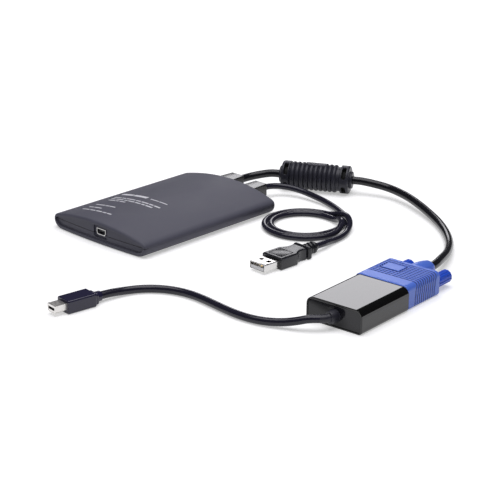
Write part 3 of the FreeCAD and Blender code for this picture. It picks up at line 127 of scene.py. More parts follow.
add(tree, "ShaderNodeOutputMaterial", {"Surface": both})
reach = 5.0
sheet = bpy.data.meshes.new("floor")
corners = [(-reach, -reach, 0), (reach, -reach, 0), (reach, reach, 0), (-reach, reach, 0)]
sheet.from_pydata(corners, [], [(0, 1, 2, 3)])
sheet.materials.append(paper)
floor = placed("floor", sheet)

# The room's own light is an even fill, fainter in reflections, so that polished black stays black.
world = bpy.data.worlds.new("studio")
world.use_nodes = True
tree = world.node_tree
tree.nodes.clear()
rays = add(tree, "ShaderNodeLightPath")
dim = add(
    tree, "ShaderNodeMapRange", {"Value": rays.outputs["Is Glossy Ray"], "To Min": 0.13, "To Max": 0.05}
)
sky = add(tree, "ShaderNodeBackground", {"Color": colour("#ffffff"), "Strength": dim})
add(tree, "ShaderNodeOutputWorld", {"Surface": sky})
bpy.context.scene.world = world
bpy.context.scene.view_settings.view_transform = "Standard"


def softbox(name, place, target, wide, tall, power):
    """A rectangular area lamp with a faint cool cast at a place, facing a target."""
    lamp = bpy.data.lights.new(name, "AREA")
    lamp.color = (0.975, 0.965, 1.0)
    lamp.shape, lamp.size, lamp.size_y, lamp.energy = "RECTANGLE", wide, tall, power
    facing = (Vector(place) - Vector(target)).to_track_quat("Z", "Y")
    placed(name, lamp).matrix_world = Matrix.Translation(place) @ facing.to_matrix().to_4x4()


softbox("rear_softbox", (-0.578, 0.774, 0.41), (0.08, 0.03, 0.0), 0.34, 0.27, 0.93)
softbox("overhead_softbox", (0.10, 0.0, 1.5), (0.10, 0.0, 0.0), 1.6, 1.6, 23.0)


# ---------------------------------------------------------------- lead sheaths
# Three round leads with an extruded PVC sheath: the one to the VGA plug is black and the two thin
# ones are a bluer black. Each runs straight out of what grips it and then lies on the desk.
def extruded_pvc(name, tone, smooth, rough):
    """PVC drawn through a die, which takes long soft highlights: a sheen that varies a little along
    the lead, over a grain drawn coarser than the real one, so that it shows."""
    finish, tree, place = finish_named(name)
    grain = add(
        tree, "ShaderNodeTexNoise", {"Vector": place, "Scale": 1 / 0.0004, "Detail": 3.0, "Roughness": 0.6}
    )
    relief = add(tree, "ShaderNodeBump", {"Height": grain, "Distance": 0.0000008, "Strength": 0.35})
    cloud = add(tree, "ShaderNodeTexNoise", {"Vector": place, "Scale": 3 / 0.05})
    sheen = add(
        tree,
        "ShaderNodeMapRange",
        {"Value": cloud, "From Min": 0.3, "From Max": 0.7, "To Min": smooth, "To Max": rough},
    )
    skin = add(
        tree,
        "ShaderNodeBsdfPrincipled",
        {"Base Color": colour(tone), "Roughness": sheen, "Normal": relief, "IOR": 1.44},
    )
    add(tree, "ShaderNodeOutputMaterial", {"Surface": skin})
    return finish


black_sheath = extruded_pvc("extruded_black_pvc", "#17171d", 0.15, 0.19)
blue_black_sheath = extruded_pvc("extruded_blue_black_pvc", "#232230", 0.16, 0.2)


def lead(name, route, diameter, sheath):
    """A round lead along a smooth line. The route's points and the diameter are in millimetres."""
    curve = bpy.data.curves.new(name, "CURVE")
    curve.dimensions = "3D"
    curve.bevel_depth, curve.bevel_resolution, curve.use_fill_caps = diameter / 2000, 7, True
    curve.resolution_u = 12
    line = curve.splines.new("NURBS")
    line.points.add(len(route) - 1)
    for point, place in zip(line.points, route):
        point.co = [c / 1000 for c in place] + [1.0]
    line.order_u, line.use_endpoint_u = 3, True
    curve.materials.append(sheath)
    made = placed(name, curve)
    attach(made, "console_and_leads")
    return made


def run_length(lead_piece):
    """The length of a lead's smooth line, in metres."""
    line = lead_piece.data.copy()
    line.bevel_depth = 0
    bare = bpy.data.objects.new("bare_line", line)
    mesh = bpy.data.meshes.new_from_object(bare)
    spots = [v.co for v in mesh.vertices]
    length = sum((b - a).length for a, b in zip(spots, spots[1:]))
    bpy.data.objects.remove(bare)
    bpy.data.meshes.remove(mesh)
    bpy.data.curves.remove(line)
    return length


# From its gland through the choke, in a wide arc on the desk, to the VGA plug.
vga_route = [
    (-8.1, 73.35, 7.0), (-8.1, 79.35, 7.0), (-6.3, 86.2, 7.4), (-2.4, 91.6, 8.3),
    (1.632, 94.898, 9.1), (6.9, 97.77, 9.1), (49.043, 120.747, 9.1), (54.311, 123.619, 9.1),
    (62.4, 127.6, 8.0), (70.5, 130.0, 7.1), (80.0, 129.6, 6.4), (91.0, 126.9, 5.9),
    (103.1, 122.0, 5.2), (115.2, 116.4, 4.2), (126.6, 110.2, 3.5), (136.9, 102.9, 3.1),
    (146.1, 94.9, 2.95), (154.3, 86.1, 3.1), (161.6, 76.2, 3.75), (168.2, 64.9, 4.95),
    (173.3, 53.1, 6.45), (177.695, 41.443, 7.1), (178.156, 35.461, 7.1),
]
vga_lead = lead("vga_lead", vga_route, 5.2, black_sheath)
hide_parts("vga_cord_lead", "vga_cord_in_choke", "vga_cord")

# The spare length of the USB lead lies in a flat coil of two turns and a quarter. The lead comes in
# under the others, winds outwards clockwise and leaves on the outside, towards its plug.
usb_route = [
    (13.9, 71.75, 7.0), (13.9, 77.75, 7.0), (17.9, 85.0, 6.4), (24.6, 89.3, 5.6), (33.4, 91.2, 4.6),
    (42.8, 91.0, 3.7), (52.5, 90.2, 2.9), (62.0, 87.4, 2.4), (70.0, 84.0, 2.2),
]
coil_x, coil_y, coil_radius, strand, lying = 69.6, 50.5, 20.35, 3.95, 2.0
start_angle, wound, step = 75.6, 807.5, 17.0
sweep_in, swing_out, climb, crossings, crossing_half = 10.15, 3.4, 4.2, (401, 740), 38


def eased(value, low, high):
    """Rises smoothly from 0 at low to 1 at high."""
    share = min(max((value - low) / (high - low), 0.0), 1.0)
    return share * share * (3 - 2 * share)


def hump(value, middle, half):
    """A smooth rise and fall from 0 to 1 and back to 0 round its middle."""
    away = min(abs(value - middle) / half, 1.0)
    return math.cos(math.radians(90 * away)) ** 2


# The lead comes in on a wider sweep, steps one strand outwards as each turn closes and swings out
# to leave. It climbs over its own turns at two crossings.
stops = round(wound / step)
for stop in range(stops + 1):
    turn = wound * stop / stops
    sweep = 1 - math.sin(math.radians(90 * min(turn / 85, 1.0)))
    strands_out = eased(turn, 350, 425) + eased(turn, 700, 765)
    radius = coil_radius + sweep_in * sweep + strand * strands_out + swing_out * eased(turn, 775, 808)
    # The smooth line runs inside its points, so they stand a little outside the coil.
    radius /= math.cos(math.radians(step / 2))
    angle = math.radians(start_angle - turn)
    rise = lying + climb * sum(hump(turn, crossing, crossing_half) for crossing in crossings)
    usb_route.append((coil_x + radius * math.cos(angle), coil_y + radius * math.sin(angle), rise))
usb_route += [(101.3, 39.2, 2.4), (102.3, 34.3, 3.0), (103.444, 29.355, 3.8), (103.199, 23.36, 3.8)]
usb_lead = lead("usb_lead", usb_route, 3.9, blue_black_sheath)
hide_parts("usb_cord_lead", "usb_coil", "usb_cord_tail")

# From the adapter's relief, in an S on the desk, to the small display plug.
mdp_route = [
    (182.927, -64.311, 6.9), (178.531, -68.395, 6.9), (174.9, -71.3, 5.6), (168.0, -74.9, 3.7),
    (159.6, -79.0, 2.7), (150.0, -81.9, 2.4), (138.5, -82.8, 2.4), (126.0, -81.7, 2.4),
    (113.5, -80.1, 2.4), (102.0, -79.7, 2.4), (91.6, -81.9, 2.4), (82.9, -86.5, 2.4),
    (76.2, -93.2, 2.4), (72.2, -101.6, 2.6), (70.233, -112.346, 3.6), (69.476, -118.298, 3.6),
]
mdp_lead = lead("mdp_lead", mdp_route, 4.6, blue_black_sheath)
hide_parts("mdp_cord")


# ---------------------------------------------------------------- console housing
# Two clamshell halves of moulded ABS under a matt soft-touch paint. They meet in a fine parting
# line, and four screws hold them together from below, through posts that grip the board.
parting = 6.2

# The paint turns bright lamps into a faint wide glow, over a slight orange peel and a grit that is
# drawn coarser than it is, so that it shows. The parting line is dark on the end faces and faint
# along the sides.
soft_touch, tree, place = finish_named("soft_touch_paint_on_abs")
spot = add(tree, "ShaderNodeSeparateXYZ", {0: place})
seam = add(tree, "ShaderNodeMath", {0: spot.outputs["Z"], 1: parting / 1000}, operation="SUBTRACT")
seam = add(tree, "ShaderNodeMath", {0: seam}, operation="ABSOLUTE")
seam = add(tree, "ShaderNodeMapRange", {"Value": seam, "From Min": 0.00008, "From Max": 0.0003})
seam_end = add(tree, "ShaderNodeMath", {0: spot.outputs["Y"]}, operation="ABSOLUTE")
seam_end = add(
    tree,
    "ShaderNodeMapRange",
    {"Value": seam_end, "From Min": 0.0535, "From Max": 0.054, "To Min": 0.85, "To Max": 0.0},
)
seam = add(tree, "ShaderNodeMath", {0: seam, 1: seam_end}, operation="MAXIMUM")
orange_peel = add(tree, "ShaderNodeTexNoise", {"Vector": place, "Scale": 1 / 0.0009, "Detail": 1.0})
grit = add(
    tree, "ShaderNodeTexNoise", {"Vector": place, "Scale": 1 / 0.0003, "Detail": 3.0, "Roughness": 0.65}
)
wear = add(
    tree, "ShaderNodeTexNoise", {"Vector": place, "Scale": 1 / 0.018, "Detail": 4.0, "Roughness": 0.6}
)
relief = add(tree, "ShaderNodeBump", {"Height": orange_peel, "Distance": 0.000006})
relief = add(tree, "ShaderNodeBump", {"Height": grit, "Distance": 0.000012, "Normal": relief})
relief = add(tree, "ShaderNodeBump", {"Height": seam, "Distance": 0.00012, "Normal": relief})
paint = add(
    tree, "ShaderNodeMix", {"Factor": wear, 6: colour("#4d4d59"), 7: colour("#545461")}, data_type="RGBA"
)
paint = add(
    tree, "ShaderNodeMix", {"Factor": seam, 6: colour("#0d0d11"), 7: paint.outputs[2]}, data_type="RGBA"
)
matt = add(
    tree,
    "ShaderNodeMapRange",
    {"Value": wear, "From Min": 0.3, "From Max": 0.7, "To Min": 0.5, "To Max": 0.58},
)
skin = add(
    tree,
    "ShaderNodeBsdfPrincipled",
    {"Base Color": paint.outputs[2], "Roughness": matt, "Normal": relief, "IOR": 1.42},
)
add(tree, "ShaderNodeOutputMaterial", {"Surface": skin})


def as_piece(mesh, name, finish, replaced=(), sharp=40):
    """Makes a mesh a piece of the body that lies on the desk, in place of solids where it is given
    some. Edges that turn by more than the sharp angle stay crisp."""
    made_mesh = bpy.data.meshes.new(name)
    mesh.to_mesh(made_mesh)
    mesh.free()
    made_mesh.materials.append(finish)
    made_mesh.shade_smooth()
    made_mesh.set_sharp_from_angle(angle=math.radians(sharp))
    made = placed(name, made_mesh)
    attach(made, "console_and_leads")
    if replaced:
        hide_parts(*replaced)
    return made


def skin_between(mesh, first, second):
    """Quads between two closed loops of as many vertices."""
    for i in range(len(first)):
        j = (i + 1) % len(first)
        mesh.faces.new((first[i], first[j], second[j], second[i]))


def skin_along(mesh, loops):
    """Quads between each closed loop and the next."""
    for before, after in zip(loops, loops[1:]):
        skin_between(mesh, before, after)


def loop_at(mesh, points):
    """Vertices at points given in millimetres."""
    return [mesh.verts.new(Vector(point) / 1000) for point in points]


def closed_prism(mesh, start, end):
    """A closed solid between two loops of as many points, given in millimetres."""
    first, last = loop_at(mesh, start), loop_at(mesh, end)
    skin_between(mesh, first, last)
    mesh.faces.new(first)
    mesh.faces.new(last)


def angles(steps):
    """Angles evenly round a circle."""
    return [2 * math.pi * i / steps for i in range(steps)]


def upright_rod(mesh, x, y, low, high, radius):
    """A closed round rod between two heights, in millimetres."""
    ring = [(x + radius * math.cos(a), y + radius * math.sin(a)) for a in angles(40)]
    closed_prism(mesh, [(*spot, low) for spot in ring], [(*spot, high) for spot in ring])


def round_corners(left, low, right, high, corner, steps=6):
    """Points round a rectangle with round corners, anticlockwise."""
    points = []
    for x, z, start in (
        (right - corner, low + corner, -90),
        (right - corner, high - corner, 0),
        (left + corner, high - corner, 90),
        (left + corner, low + corner, 180),
    ):
        for i in range(steps + 1):
            turn = math.radians(start + 90 * i / steps)
            points.append((x + corner * math.cos(turn), z + corner * math.sin(turn)))
    return points


def carved(solid, cutter):
    """A mesh without the volume of a second one. Both are given up."""
    carvings = []
    for volume in (solid, cutter):
        bmesh.ops.recalc_face_normals(volume, faces=volume.faces)
        mesh = bpy.data.meshes.new("carving")
        volume.to_mesh(mesh)
        volume.free()
        carvings.append(placed("carving", mesh))
    held, tool = carvings
    step = held.modifiers.new("carving", "BOOLEAN")
    step.operation, step.solver, step.object = "DIFFERENCE", "EXACT", tool
    bpy.context.view_layer.update()
    left = held.evaluated_get(bpy.context.evaluated_depsgraph_get()).to_mesh()
    result = bmesh.new()
    result.from_mesh(left)
    for made in carvings:
        bpy.data.objects.remove(made)
    return result


def curve_points(a, b, c, d, steps):
    """Points of a Bezier curve, without its last."""
    spots = []
    for i in range(steps):
        t = i / steps
        weights = ((1 - t) ** 3, 3 * t * (1 - t) ** 2, 3 * t * t * (1 - t), t**3)
        spots.append(tuple(sum(w * p[k] for w, p in zip(weights, (a, b, c, d))) for k in (0, 1)))
    return spots


# The section: a level foot, sides that swell to the waist and a top that arches to the crown.
foot_half, waist, waist_z, shoulder, shoulder_z, crown = 32.5, 40.4, 5.8, 37.0, 9.45, 14.0
end_straight, end_bow, bow_half = 56.25, 2.0, 42.5
right_half = [(foot_half * i / 30, 0.0) for i in range(30)]
right_half += curve_points((foot_half, 0.0), (37.2, 0.0), (waist, 2.4), (waist, waist_z), 16)
right_half += curve_points((waist, waist_z), (waist, 7.8), (39.3, 8.8), (shoulder, shoulder_z), 12)
for i in range(50):
    share = 1 - i / 50
    right_half.append((shoulder * share, crown - (crown - shoulder_z) * share**2))
section = right_half + [(0.0, crown)] + [(-x, z) for x, z in reversed(right_half[1:])]
section_normals = []
for (ax, az), (bx, bz) in zip(section[-1:] + section[:-1], section[1:] + section[:1]):
    chord = math.hypot(bx - ax, bz - az)
    section_normals.append(((bz - az) / chord, (ax - bx) / chord))


def end_plane(x):
    """How far the bowed ends reach from the middle, in millimetres."""
    return end_straight + end_bow * (1 - (x / bow_half) ** 2)


def console_solid(end_rows, face_shares):
    """A closed solid of the console's section. Each end row is an inset, an extra inset of the
    foot and a depth from the end; the shares draw the last row in towards the middle."""
    mesh = bmesh.new()
    middle_z = 6.9
    face_depth = end_rows[-1][2]
    ends = []
    for side in (-1, 1):
        rows = []
        for inset, foot, depth in end_rows:
            row = []
            for (x, z), (nx, nz) in zip(section, section_normals):
                by = inset + foot * max(0.0, -nz)
                x, z = x - nx * by, z - nz * by
                row.append((x, side * (end_plane(x) - depth), z))
            rows.append(row)
        face_edge = rows[-1]
        for share in face_shares:
            row = []
            for x, y, z in face_edge:
                x, z = x * share, middle_z + (z - middle_z) * share
                row.append((x, side * (end_plane(x) - face_depth), z))
            rows.append(row)
        loops = [loop_at(mesh, row) for row in rows]
        skin_along(mesh, loops)
        mesh.faces.new(loops[-1])
        ends.append(loops[0])
    skin_between(mesh, *ends)
    return mesh


def drilled(outline, start, end):
    """Two loops along the console with one outline across it."""
    return [[(x, y, z) for x, z in outline] for y in (start, end)]


# Each end face is sunk inside a rounded rim. The posts stand on both sides of the board.
wall, recess, edge_round = 1.8, 1.35, 1.5
board_low, board_high, post_radius = 4.35, 5.55, 3.0
screw_spots = [(x, y) for x in (-29.0, 29.0) for y in (-40.0, 40.0)]
end_rows = [(0.0, 0.0, edge_round + 0.9)]
for turn in (0, 12, 25, 38, 51, 64, 77, 90):
    turn = math.radians(turn)
    end_rows.append((edge_round * (1 - math.cos(turn)), 0.0, edge_round * (1 - math.sin(turn))))
end_rows += [(1.62, 0.7, 0.0), (1.76, 0.7, 0.05), (1.82, 0.7, 0.2)]
end_rows += [(1.84, 0.7, recess - 0.12), (1.96, 0.7, recess)]
hollow = console_solid([(wall, 0.0, recess + wall)], (0.8, 0.5, 0.2))
posts = bmesh.new()
for x, y in screw_spots:
    upright_rod(posts, x, y, -1.0, board_low, post_radius)
    upright_rod(posts, x, y, board_high, 16.0, post_radius)
housing = carved(console_solid(end_rows, (0.94, 0.8, 0.6, 0.4, 0.2)), carved(hollow, posts))

# A rounded pocket with the port's opening in it in front, an opening for each gland's neck behind,
# and a seat for the head and a bore for each screw.
holes = bmesh.new()
closed_prism(holes, *drilled(round_corners(-3.5, 3.7, 8.5, 11.3, 1.8), -60.0, -55.85))
for x, y in screw_spots:
    upright_rod(holes, x, y, -1.0, 1.6, 2.0)
housing = carved(housing, holes)
holes = bmesh.new()
port = [(-0.65, 5.5), (5.65, 5.5), (6.4, 7.1), (6.4, 9.5), (-1.4, 9.5), (-1.4, 7.1)]
closed_prism(holes, *drilled(port, -58.0, -54.0))
for middle, half in ((-8.1, 4.75), (13.9, 4.25)):
    neck = round_corners(middle - half, 4.25, middle + half, 9.75, 0.3, 2)
    closed_prism(holes, *drilled(neck, 54.0, 60.0))
for x, y in screw_spots:
    upright_rod(holes, x, y, -1.2, 8.3, 1.1)
housing = carved(housing, holes)
for name, node, low, high in (
    ("console_cover", "console_top_shell", -5.0, parting),
    ("console_base", "console_bottom_shell", parting, 20.0),
):
    rest = bmesh.new()
    square = [(-50, -70), (50, -70), (50, 70), (-50, 70)]
    closed_prism(rest, [(x, y, low) for x, y in square], [(x, y, high) for x, y in square])
    as_piece(carved(housing.copy(), rest), name, soft_touch, [node], 35)
housing.free()

# ---------------------------------------------------------------- console print
# Pale pad-printed marks near the port: a plain title bar, three lines of short dashes and three
# captions. The ink is a film of a few hundredths of a millimetre, a little glossier than the paint,
# with speckles drawn coarse enough to show.
ink, tree, place = finish_named("pale_pad_printing_ink")
speckle = add(
    tree, "ShaderNodeTexNoise", {"Vector": place, "Scale": 1 / 0.0004, "Detail": 3.0, "Roughness": 0.7}
)
cover = add(
    tree, "ShaderNodeMix", {"Factor": speckle, 6: colour("#c6c6ce"), 7: colour("#ececf0")}, data_type="RGBA"
)
skin = add(tree, "ShaderNodeBsdfPrincipled", {"Base Color": cover.outputs[2], "Roughness": 0.45})
add(tree, "ShaderNodeOutputMaterial", {"Surface": skin})

cover_mesh = bpy.data.objects["console_cover"].data
spots, faces = [v.co for v in cover_mesh.vertices], [p.vertices for p in cover_mesh.polygons]
cover_tree = BVHTree.FromPolygons(spots, faces)


def cover_height(x, y):
    """The height of the arched cover over a place on it, in millimetres."""
    hit = cover_tree.ray_cast(Vector((x / 1000, y / 1000, 0.1)), Vector((0, 0, -1)))[0]
    return hit.z * 1000


# The title bar's four stretches, then six lines of dashes as long as words, all running along x.
title_tall, text_tall, word_gap, film = 2.8, 1.25, 0.85, 0.03
dashes = [(-32.5, -6.0, 10.0, title_tall), (-21.6, -6.0, 11.6, title_tall)]
dashes += [(-6.5, -6.6, 7.0, 0.9), (1.2, -6.6, 6.8, 0.9)]
for left, y, words in (
    (-31.4, -13.9, (6.5, 3.0, 7.5, 4.0, 6.0, 3.5, 5.0)),
    (-30.6, -17.2, (3.5, 6.5, 2.5, 5.5, 4.5, 3.0, 5.6)),
    (-29.8, -20.5, (6.0, 2.5, 4.8)),
    (-28.3, -31.9, (7.5, 3.0, 4.6)),
    (-28.3, -37.8, (4.0, 6.2)),
    (-28.3, -43.2, (6.0, 4.5, 5.0, 3.0, 3.6)),
):
    for word in words:
        dashes.append((left, y, word, text_tall))
        left += word + word_gap
mesh = bmesh.new()
for left, middle, long, tall in dashes:
    cuts = max(2, round(long / 1.5))
    rows = []
    for i in range(cuts + 1):
        x = left + long * i / cuts
        ends = []
        for y in (middle - tall / 2, middle + tall / 2):
            z = cover_height(x, y)
            ends += loop_at(mesh, [(x, y, z - film), (x, y, z + film)])
        rows.append(ends)
    for (a, b, c, d), (e, f, g, h) in zip(rows, rows[1:]):
        for face in ((b, f, h, d), (a, c, g, e), (a, e, f, b), (c, d, h, g)):
            mesh.faces.new(face)
    for a, b, c, d in (rows[0], rows[-1]):
        mesh.faces.new((a, b, d, c))
bmesh.ops.recalc_face_normals(mesh, faces=mesh.faces)
as_piece(mesh, "console_print", ink)


# ---------------------------------------------------------------- console insides
# A green glass-epoxy board with epoxy-cased chips, a crystal in a drawn can and two nylon headers,
# closed in by the housing. The screws that hold it together are black zinc-plated steel.
def dress(finish, *nodes):
    """Gives solids their finish."""
    for node in nodes:
        shown = frame["nodes"][node]
        shown.data.materials.clear()
        shown.data.materials.append(finish)


def plain_plastic(name, low, high, rough, grain_mm, depth_mm, ior=1.5):
    """A moulded plastic: two near tones, a grain drawn coarse enough to show, and a roughness that
    wanders a little with the flow of the melt."""
    made, tree, place = finish_named(name)
    grain = add(
        tree,
        "ShaderNodeTexNoise",
        {"Vector": place, "Scale": 1000 / grain_mm, "Detail": 3.0, "Roughness": 0.6},
    )
    cloud = add(tree, "ShaderNodeTexNoise", {"Vector": place, "Scale": 1 / 0.014, "Detail": 3.0})
    relief = add(tree, "ShaderNodeBump", {"Height": grain, "Distance": depth_mm / 1000, "Strength": 0.8})
    tone = add(
        tree, "ShaderNodeMix", {"Factor": cloud, 6: colour(low), 7: colour(high)}, data_type="RGBA"
    ).outputs[2]
    gloss = add(
        tree,
        "ShaderNodeMapRange",
        {"Value": cloud, "From Min": 0.3, "From Max": 0.7, "To Min": rough * 0.88, "To Max": rough * 1.12},
    )
    skin = add(
        tree,
        "ShaderNodeBsdfPrincipled",
        {"Base Color": tone, "Roughness": gloss, "Normal": relief, "IOR": ior},
    )
    add(tree, "ShaderNodeOutputMaterial", {"Surface": skin})
    return made


def plain_metal(name, low, high, rough, grain_mm):
    """A metal: two near tones and fine marks from drawing or plating, drawn coarse enough to show."""
    made, tree, place = finish_named(name)
    marks = add(
        tree,
        "ShaderNodeTexNoise",
        {"Vector": place, "Scale": 1000 / grain_mm, "Detail": 4.0, "Roughness": 0.6},
    )
    relief = add(tree, "ShaderNodeBump", {"Height": marks, "Distance": 0.000004, "Strength": 0.6})
    tone = add(
        tree, "ShaderNodeMix", {"Factor": marks, 6: colour(low), 7: colour(high)}, data_type="RGBA"
    ).outputs[2]
    gloss = add(
        tree,
        "ShaderNodeMapRange",
        {"Value": marks, "From Min": 0.3, "From Max": 0.7, "To Min": rough * 0.8, "To Max": rough * 1.2},
    )
    skin = add(
        tree,
        "ShaderNodeBsdfPrincipled",
        {"Base Color": tone, "Roughness": gloss, "Normal": relief, "Metallic": 1.0},
    )
    add(tree, "ShaderNodeOutputMaterial", {"Surface": skin})
    return made


# Glossy green solder mask, paler and a little proud where it covers a track.
laminate, tree, place = finish_named("solder_mask_on_glass_epoxy")
tracks = add(
    tree,
    "ShaderNodeTexWave",
    {"Vector": place, "Scale": 1 / 0.0075, "Distortion": 6.0, "Detail": 1.0, "Detail Scale": 0.6},
    bands_direction="DIAGONAL",
)
track = add(tree, "ShaderNodeMapRange", {"Value": tracks, "From Min": 0.62, "From Max": 0.7})
mask = add(
    tree, "ShaderNodeMix", {"Factor": track, 6: colour("#0f3d22"), 7: colour("#1d5a33")}, data_type="RGBA"
)
relief = add(tree, "ShaderNodeBump", {"Height": track, "Distance": 0.00003})
skin = add(
    tree,
    "ShaderNodeBsdfPrincipled",
    {"Base Color": mask.outputs[2], "Roughness": 0.32, "Normal": relief, "IOR": 1.55},
)
add(tree, "ShaderNodeOutputMaterial", {"Surface": skin})
dress(laminate, "main_board", "adapter_board")

# Dull grey-black chips, a bright can, waxy cream headers and dark, oily-looking screws.
epoxy = plain_plastic("moulded_chip_epoxy", "#191a1c", "#222326", 0.62, 0.25, 0.006)
dress(epoxy, "video_digitiser", "usb_bridge", "frame_memory", "flash_memory", "converter_chip")
dress(plain_metal("drawn_nickel_silver", "#bdbdbb", "#cfcfcd", 0.28, 0.5), "clock_crystal")
dress(plain_plastic("natural_nylon", "#dcd7c4", "#e6e2d2", 0.5, 0.8, 0.004), "video_header", "usb_header")
dress(plain_metal("black_zinc_plated_steel", "#4a4b50", "#5c5d62", 0.36, 0.3), "console_screws")

# ---------------------------------------------------------------- mini-USB port
# A folded, nickel-plated steel shell round a black tongue, sunk in the console's end face. The
# plating is bright and mirrors softly; glass fibre leaves the nylon a little dull.
nickel = plain_metal("nickel_plated_steel", "#c6c5c3", "#dddcda", 0.17, 0.6)
dress(nickel, "mini_usb_shell")
black_insulator = plain_plastic("black_glass_filled_nylon", "#0b0b0d", "#121215", 0.42, 0.3, 0.004)
dress(black_insulator, "mini_usb_tongue")


# ---------------------------------------------------------------- lead glands
# Smooth black PVC blocks, moulded on the leads and gripped by the console's far end. Their level
# tops are polished enough to mirror the lamp behind them.
def skin_closed(mesh, loops):
    """A closed skin along a row of loops, with a face over each end."""
    skin_along(mesh, loops)
    mesh.faces.new(loops[0])
    mesh.faces.new(loops[-1])
    bmesh.ops.recalc_face_normals(mesh, faces=mesh.faces)


# Each row is a place along the console, half a width, a foot, a top and a corner radius.
gland_root, gland_top = 57.35, 11.2
gland_pvc = plain_plastic("polished_black_pvc", "#131317", "#19191e", 0.17, 0.6, 0.002, 1.54)
for gland, middle, out, near, far in (
    ("vga_gland", -8.1, 16.0, 6.5, 5.15),
    ("usb_gland", 13.9, 14.4, 5.75, 4.9),
):
    end = gland_root + out
    neck, groove = near - 0.2, far - 0.9
    rows = [(53.45, neck, 4.3, 9.7, 0.2), (54.9, neck, 4.3, 9.7, 0.2), (54.95, groove, 4.3, 9.7, 0.2)]
    rows += [(56.4, groove, 4.3, 9.7, 0.2), (56.45, near, 3.4, gland_top, 0.5)]
    rows += [(57.0, near, 3.4, gland_top, 0.5), (64.0, (near + far) / 2, 3.3, gland_top, 0.45)]
    rows += [(end - 0.9, far, 3.2, gland_top, 0.4), (end - 0.35, far, 3.2, gland_top, 0.4)]
    rows += [(end - 0.1, far - 0.1, 3.3, gland_top - 0.1, 0.4)]
    rows += [(end, far - 0.35, 3.55, gland_top - 0.35, 0.4)]
    mesh, loops = bmesh.new(), []
    for y, half, low, high, corner in rows:
        outline = round_corners(middle - half, low, middle + half, high, corner)
        loops.append(loop_at(mesh, [(x, y, z) for x, z in outline]))
    skin_closed(mesh, loops)
    as_piece(mesh, f"{gland}_block", gland_pvc, [gland])

# ---------------------------------------------------------------- ferrite choke
# A ferrite cylinder with a jacket of black PVC moulded over it and the lead: round ribs between two
# plain bands, four windows at each end left by the pins that held the core, and a bare plate on top.

# The mould's satin walls give the jacket wide, soft highlights.
choke_pvc = plain_plastic("satin_black_pvc", "#2d2d36", "#35353f", 0.38, 0.35, 0.006, 1.4)
choke_start, choke_angle = Vector((6.9, 97.77, 9.1)), math.radians(90 - 61.4)
choke_long, choke_radius, collar_radius, collar_long = 48.0, 9.1, 5.5, 1.7
choke_bore, choke_corner, collar_corner = 2.66, 1.1, 0.35
choke_along = Vector((math.cos(choke_angle), math.sin(choke_angle), 0.0))
choke_aside = Vector((math.sin(choke_angle), -math.cos(choke_angle), 0.0))
rib_first, rib_pitch, rib_count, rib_round = 9.22, 3.04, 10, 1.54
ribs_from, ribs_to, ribs_deep = 7.0, 40.7, 1.25
window_ends, window_round, window_half, window_deep = (5.0, 43.2), 1.35, 3.1, 2.8
plate_from, plate_to, plate_half, plate_proud = 16.9, 31.3, 3.2, 0.1
dimple_in, dimple_round, dimple_deep = 0.9, 0.6, 1.2


def choke_profile(s):
    """The jacket's plain radius at a distance along it, in millimetres."""
    s = min(s, choke_long - s)
    if s < collar_long:
        return collar_radius - collar_corner * (1 - min(s / collar_corner, 1.0)) ** 2
    edge = s - collar_long
    if edge < choke_corner:
        inner = choke_radius - choke_corner
        return inner + math.sqrt(max(choke_corner**2 - (choke_corner - edge) ** 2, 0.0))
    return choke_radius


def choke_surface(s, turn):
    """The jacket's radius at a distance along it and an angle from its front side to its top: it is
    sunk for the ribs and the windows, and proud at the plate, which has a dimple at two corners."""
    radius = choke_profile(s)
    radius -= ribs_deep * eased(s, ribs_from, ribs_from + 0.5) * (1 - eased(s, ribs_to - 0.5, ribs_to))
    arc = choke_radius * math.radians((turn % 90) - 45)
    for middle in window_ends:
        past = max(abs(arc) - window_half, 0.0)
        away = math.hypot(s - middle, past) - window_round
        radius -= window_deep * (1 - eased(away, -0.16, 0.1))
    off = choke_radius * math.cos(math.radians(turn))
    if math.sin(math.radians(turn)) > 0.5 and abs(off) < plate_half + 0.4:
        on_plate = (1 - eased(abs(off), plate_half - 0.25, plate_half + 0.15)) * (
            eased(s, plate_from - 0.2, plate_from + 0.2) * (1 - eased(s, plate_to - 0.2, plate_to + 0.2))
        )
        radius += (choke_radius + plate_proud - radius) * on_plate
        for dimple in (plate_from + dimple_in, plate_to - dimple_in):
            away = math.hypot(s - dimple, off - plate_half + dimple_in) - dimple_round
            radius -= dimple_deep * (1 - eased(away, -0.12, 0.08))
    return radius


def on_choke(s, turn, radius):
    """A point on a ring round the choke, in millimetres."""
    turn = math.radians(turn)
    spot = choke_start + choke_along * s + choke_aside * (radius * math.cos(turn))
    return spot + Vector((0, 0, radius * math.sin(turn)))


# The skin's rings lie closest at the collars, the windows and the ends of the plate.
stations = [0.0, 0.12, 0.35, 1.0, 1.69]
for first, pitch, count in (
    (1.7, 0.06, 5),
    (2.0, 0.2, 7),
    (3.5, 0.14, 26),
    (7.3, 0.2, 2),
    (8.0, 0.5, 17),
    (16.4, 0.2, 14),
    (19.5, 0.8, 13),
    (29.6, 0.2, 12),
    (32.5, 0.8, 10),
    (40.2, 0.25, 3),
    (41.2, 0.14, 30),
    (45.4, 0.2, 4),
):
    stations += [first + pitch * i for i in range(count)]
stations += [46.1, 46.2, 46.27, 46.3, 46.31, 47.0, 47.65, 47.88, choke_long]
around = 216
turns = [i * 360 / around for i in range(around)]
rings = [[on_choke(s, turn, choke_surface(s, turn)) for turn in turns] for s in stations]
rings += [[on_choke(s, turn, choke_bore) for turn in turns] for s in (choke_long, 0.0)]
mesh = bmesh.new()
loops = [loop_at(mesh, ring) for ring in rings]
skin_along(mesh, loops + loops[:1])
bmesh.ops.recalc_face_normals(mesh, faces=mesh.faces)
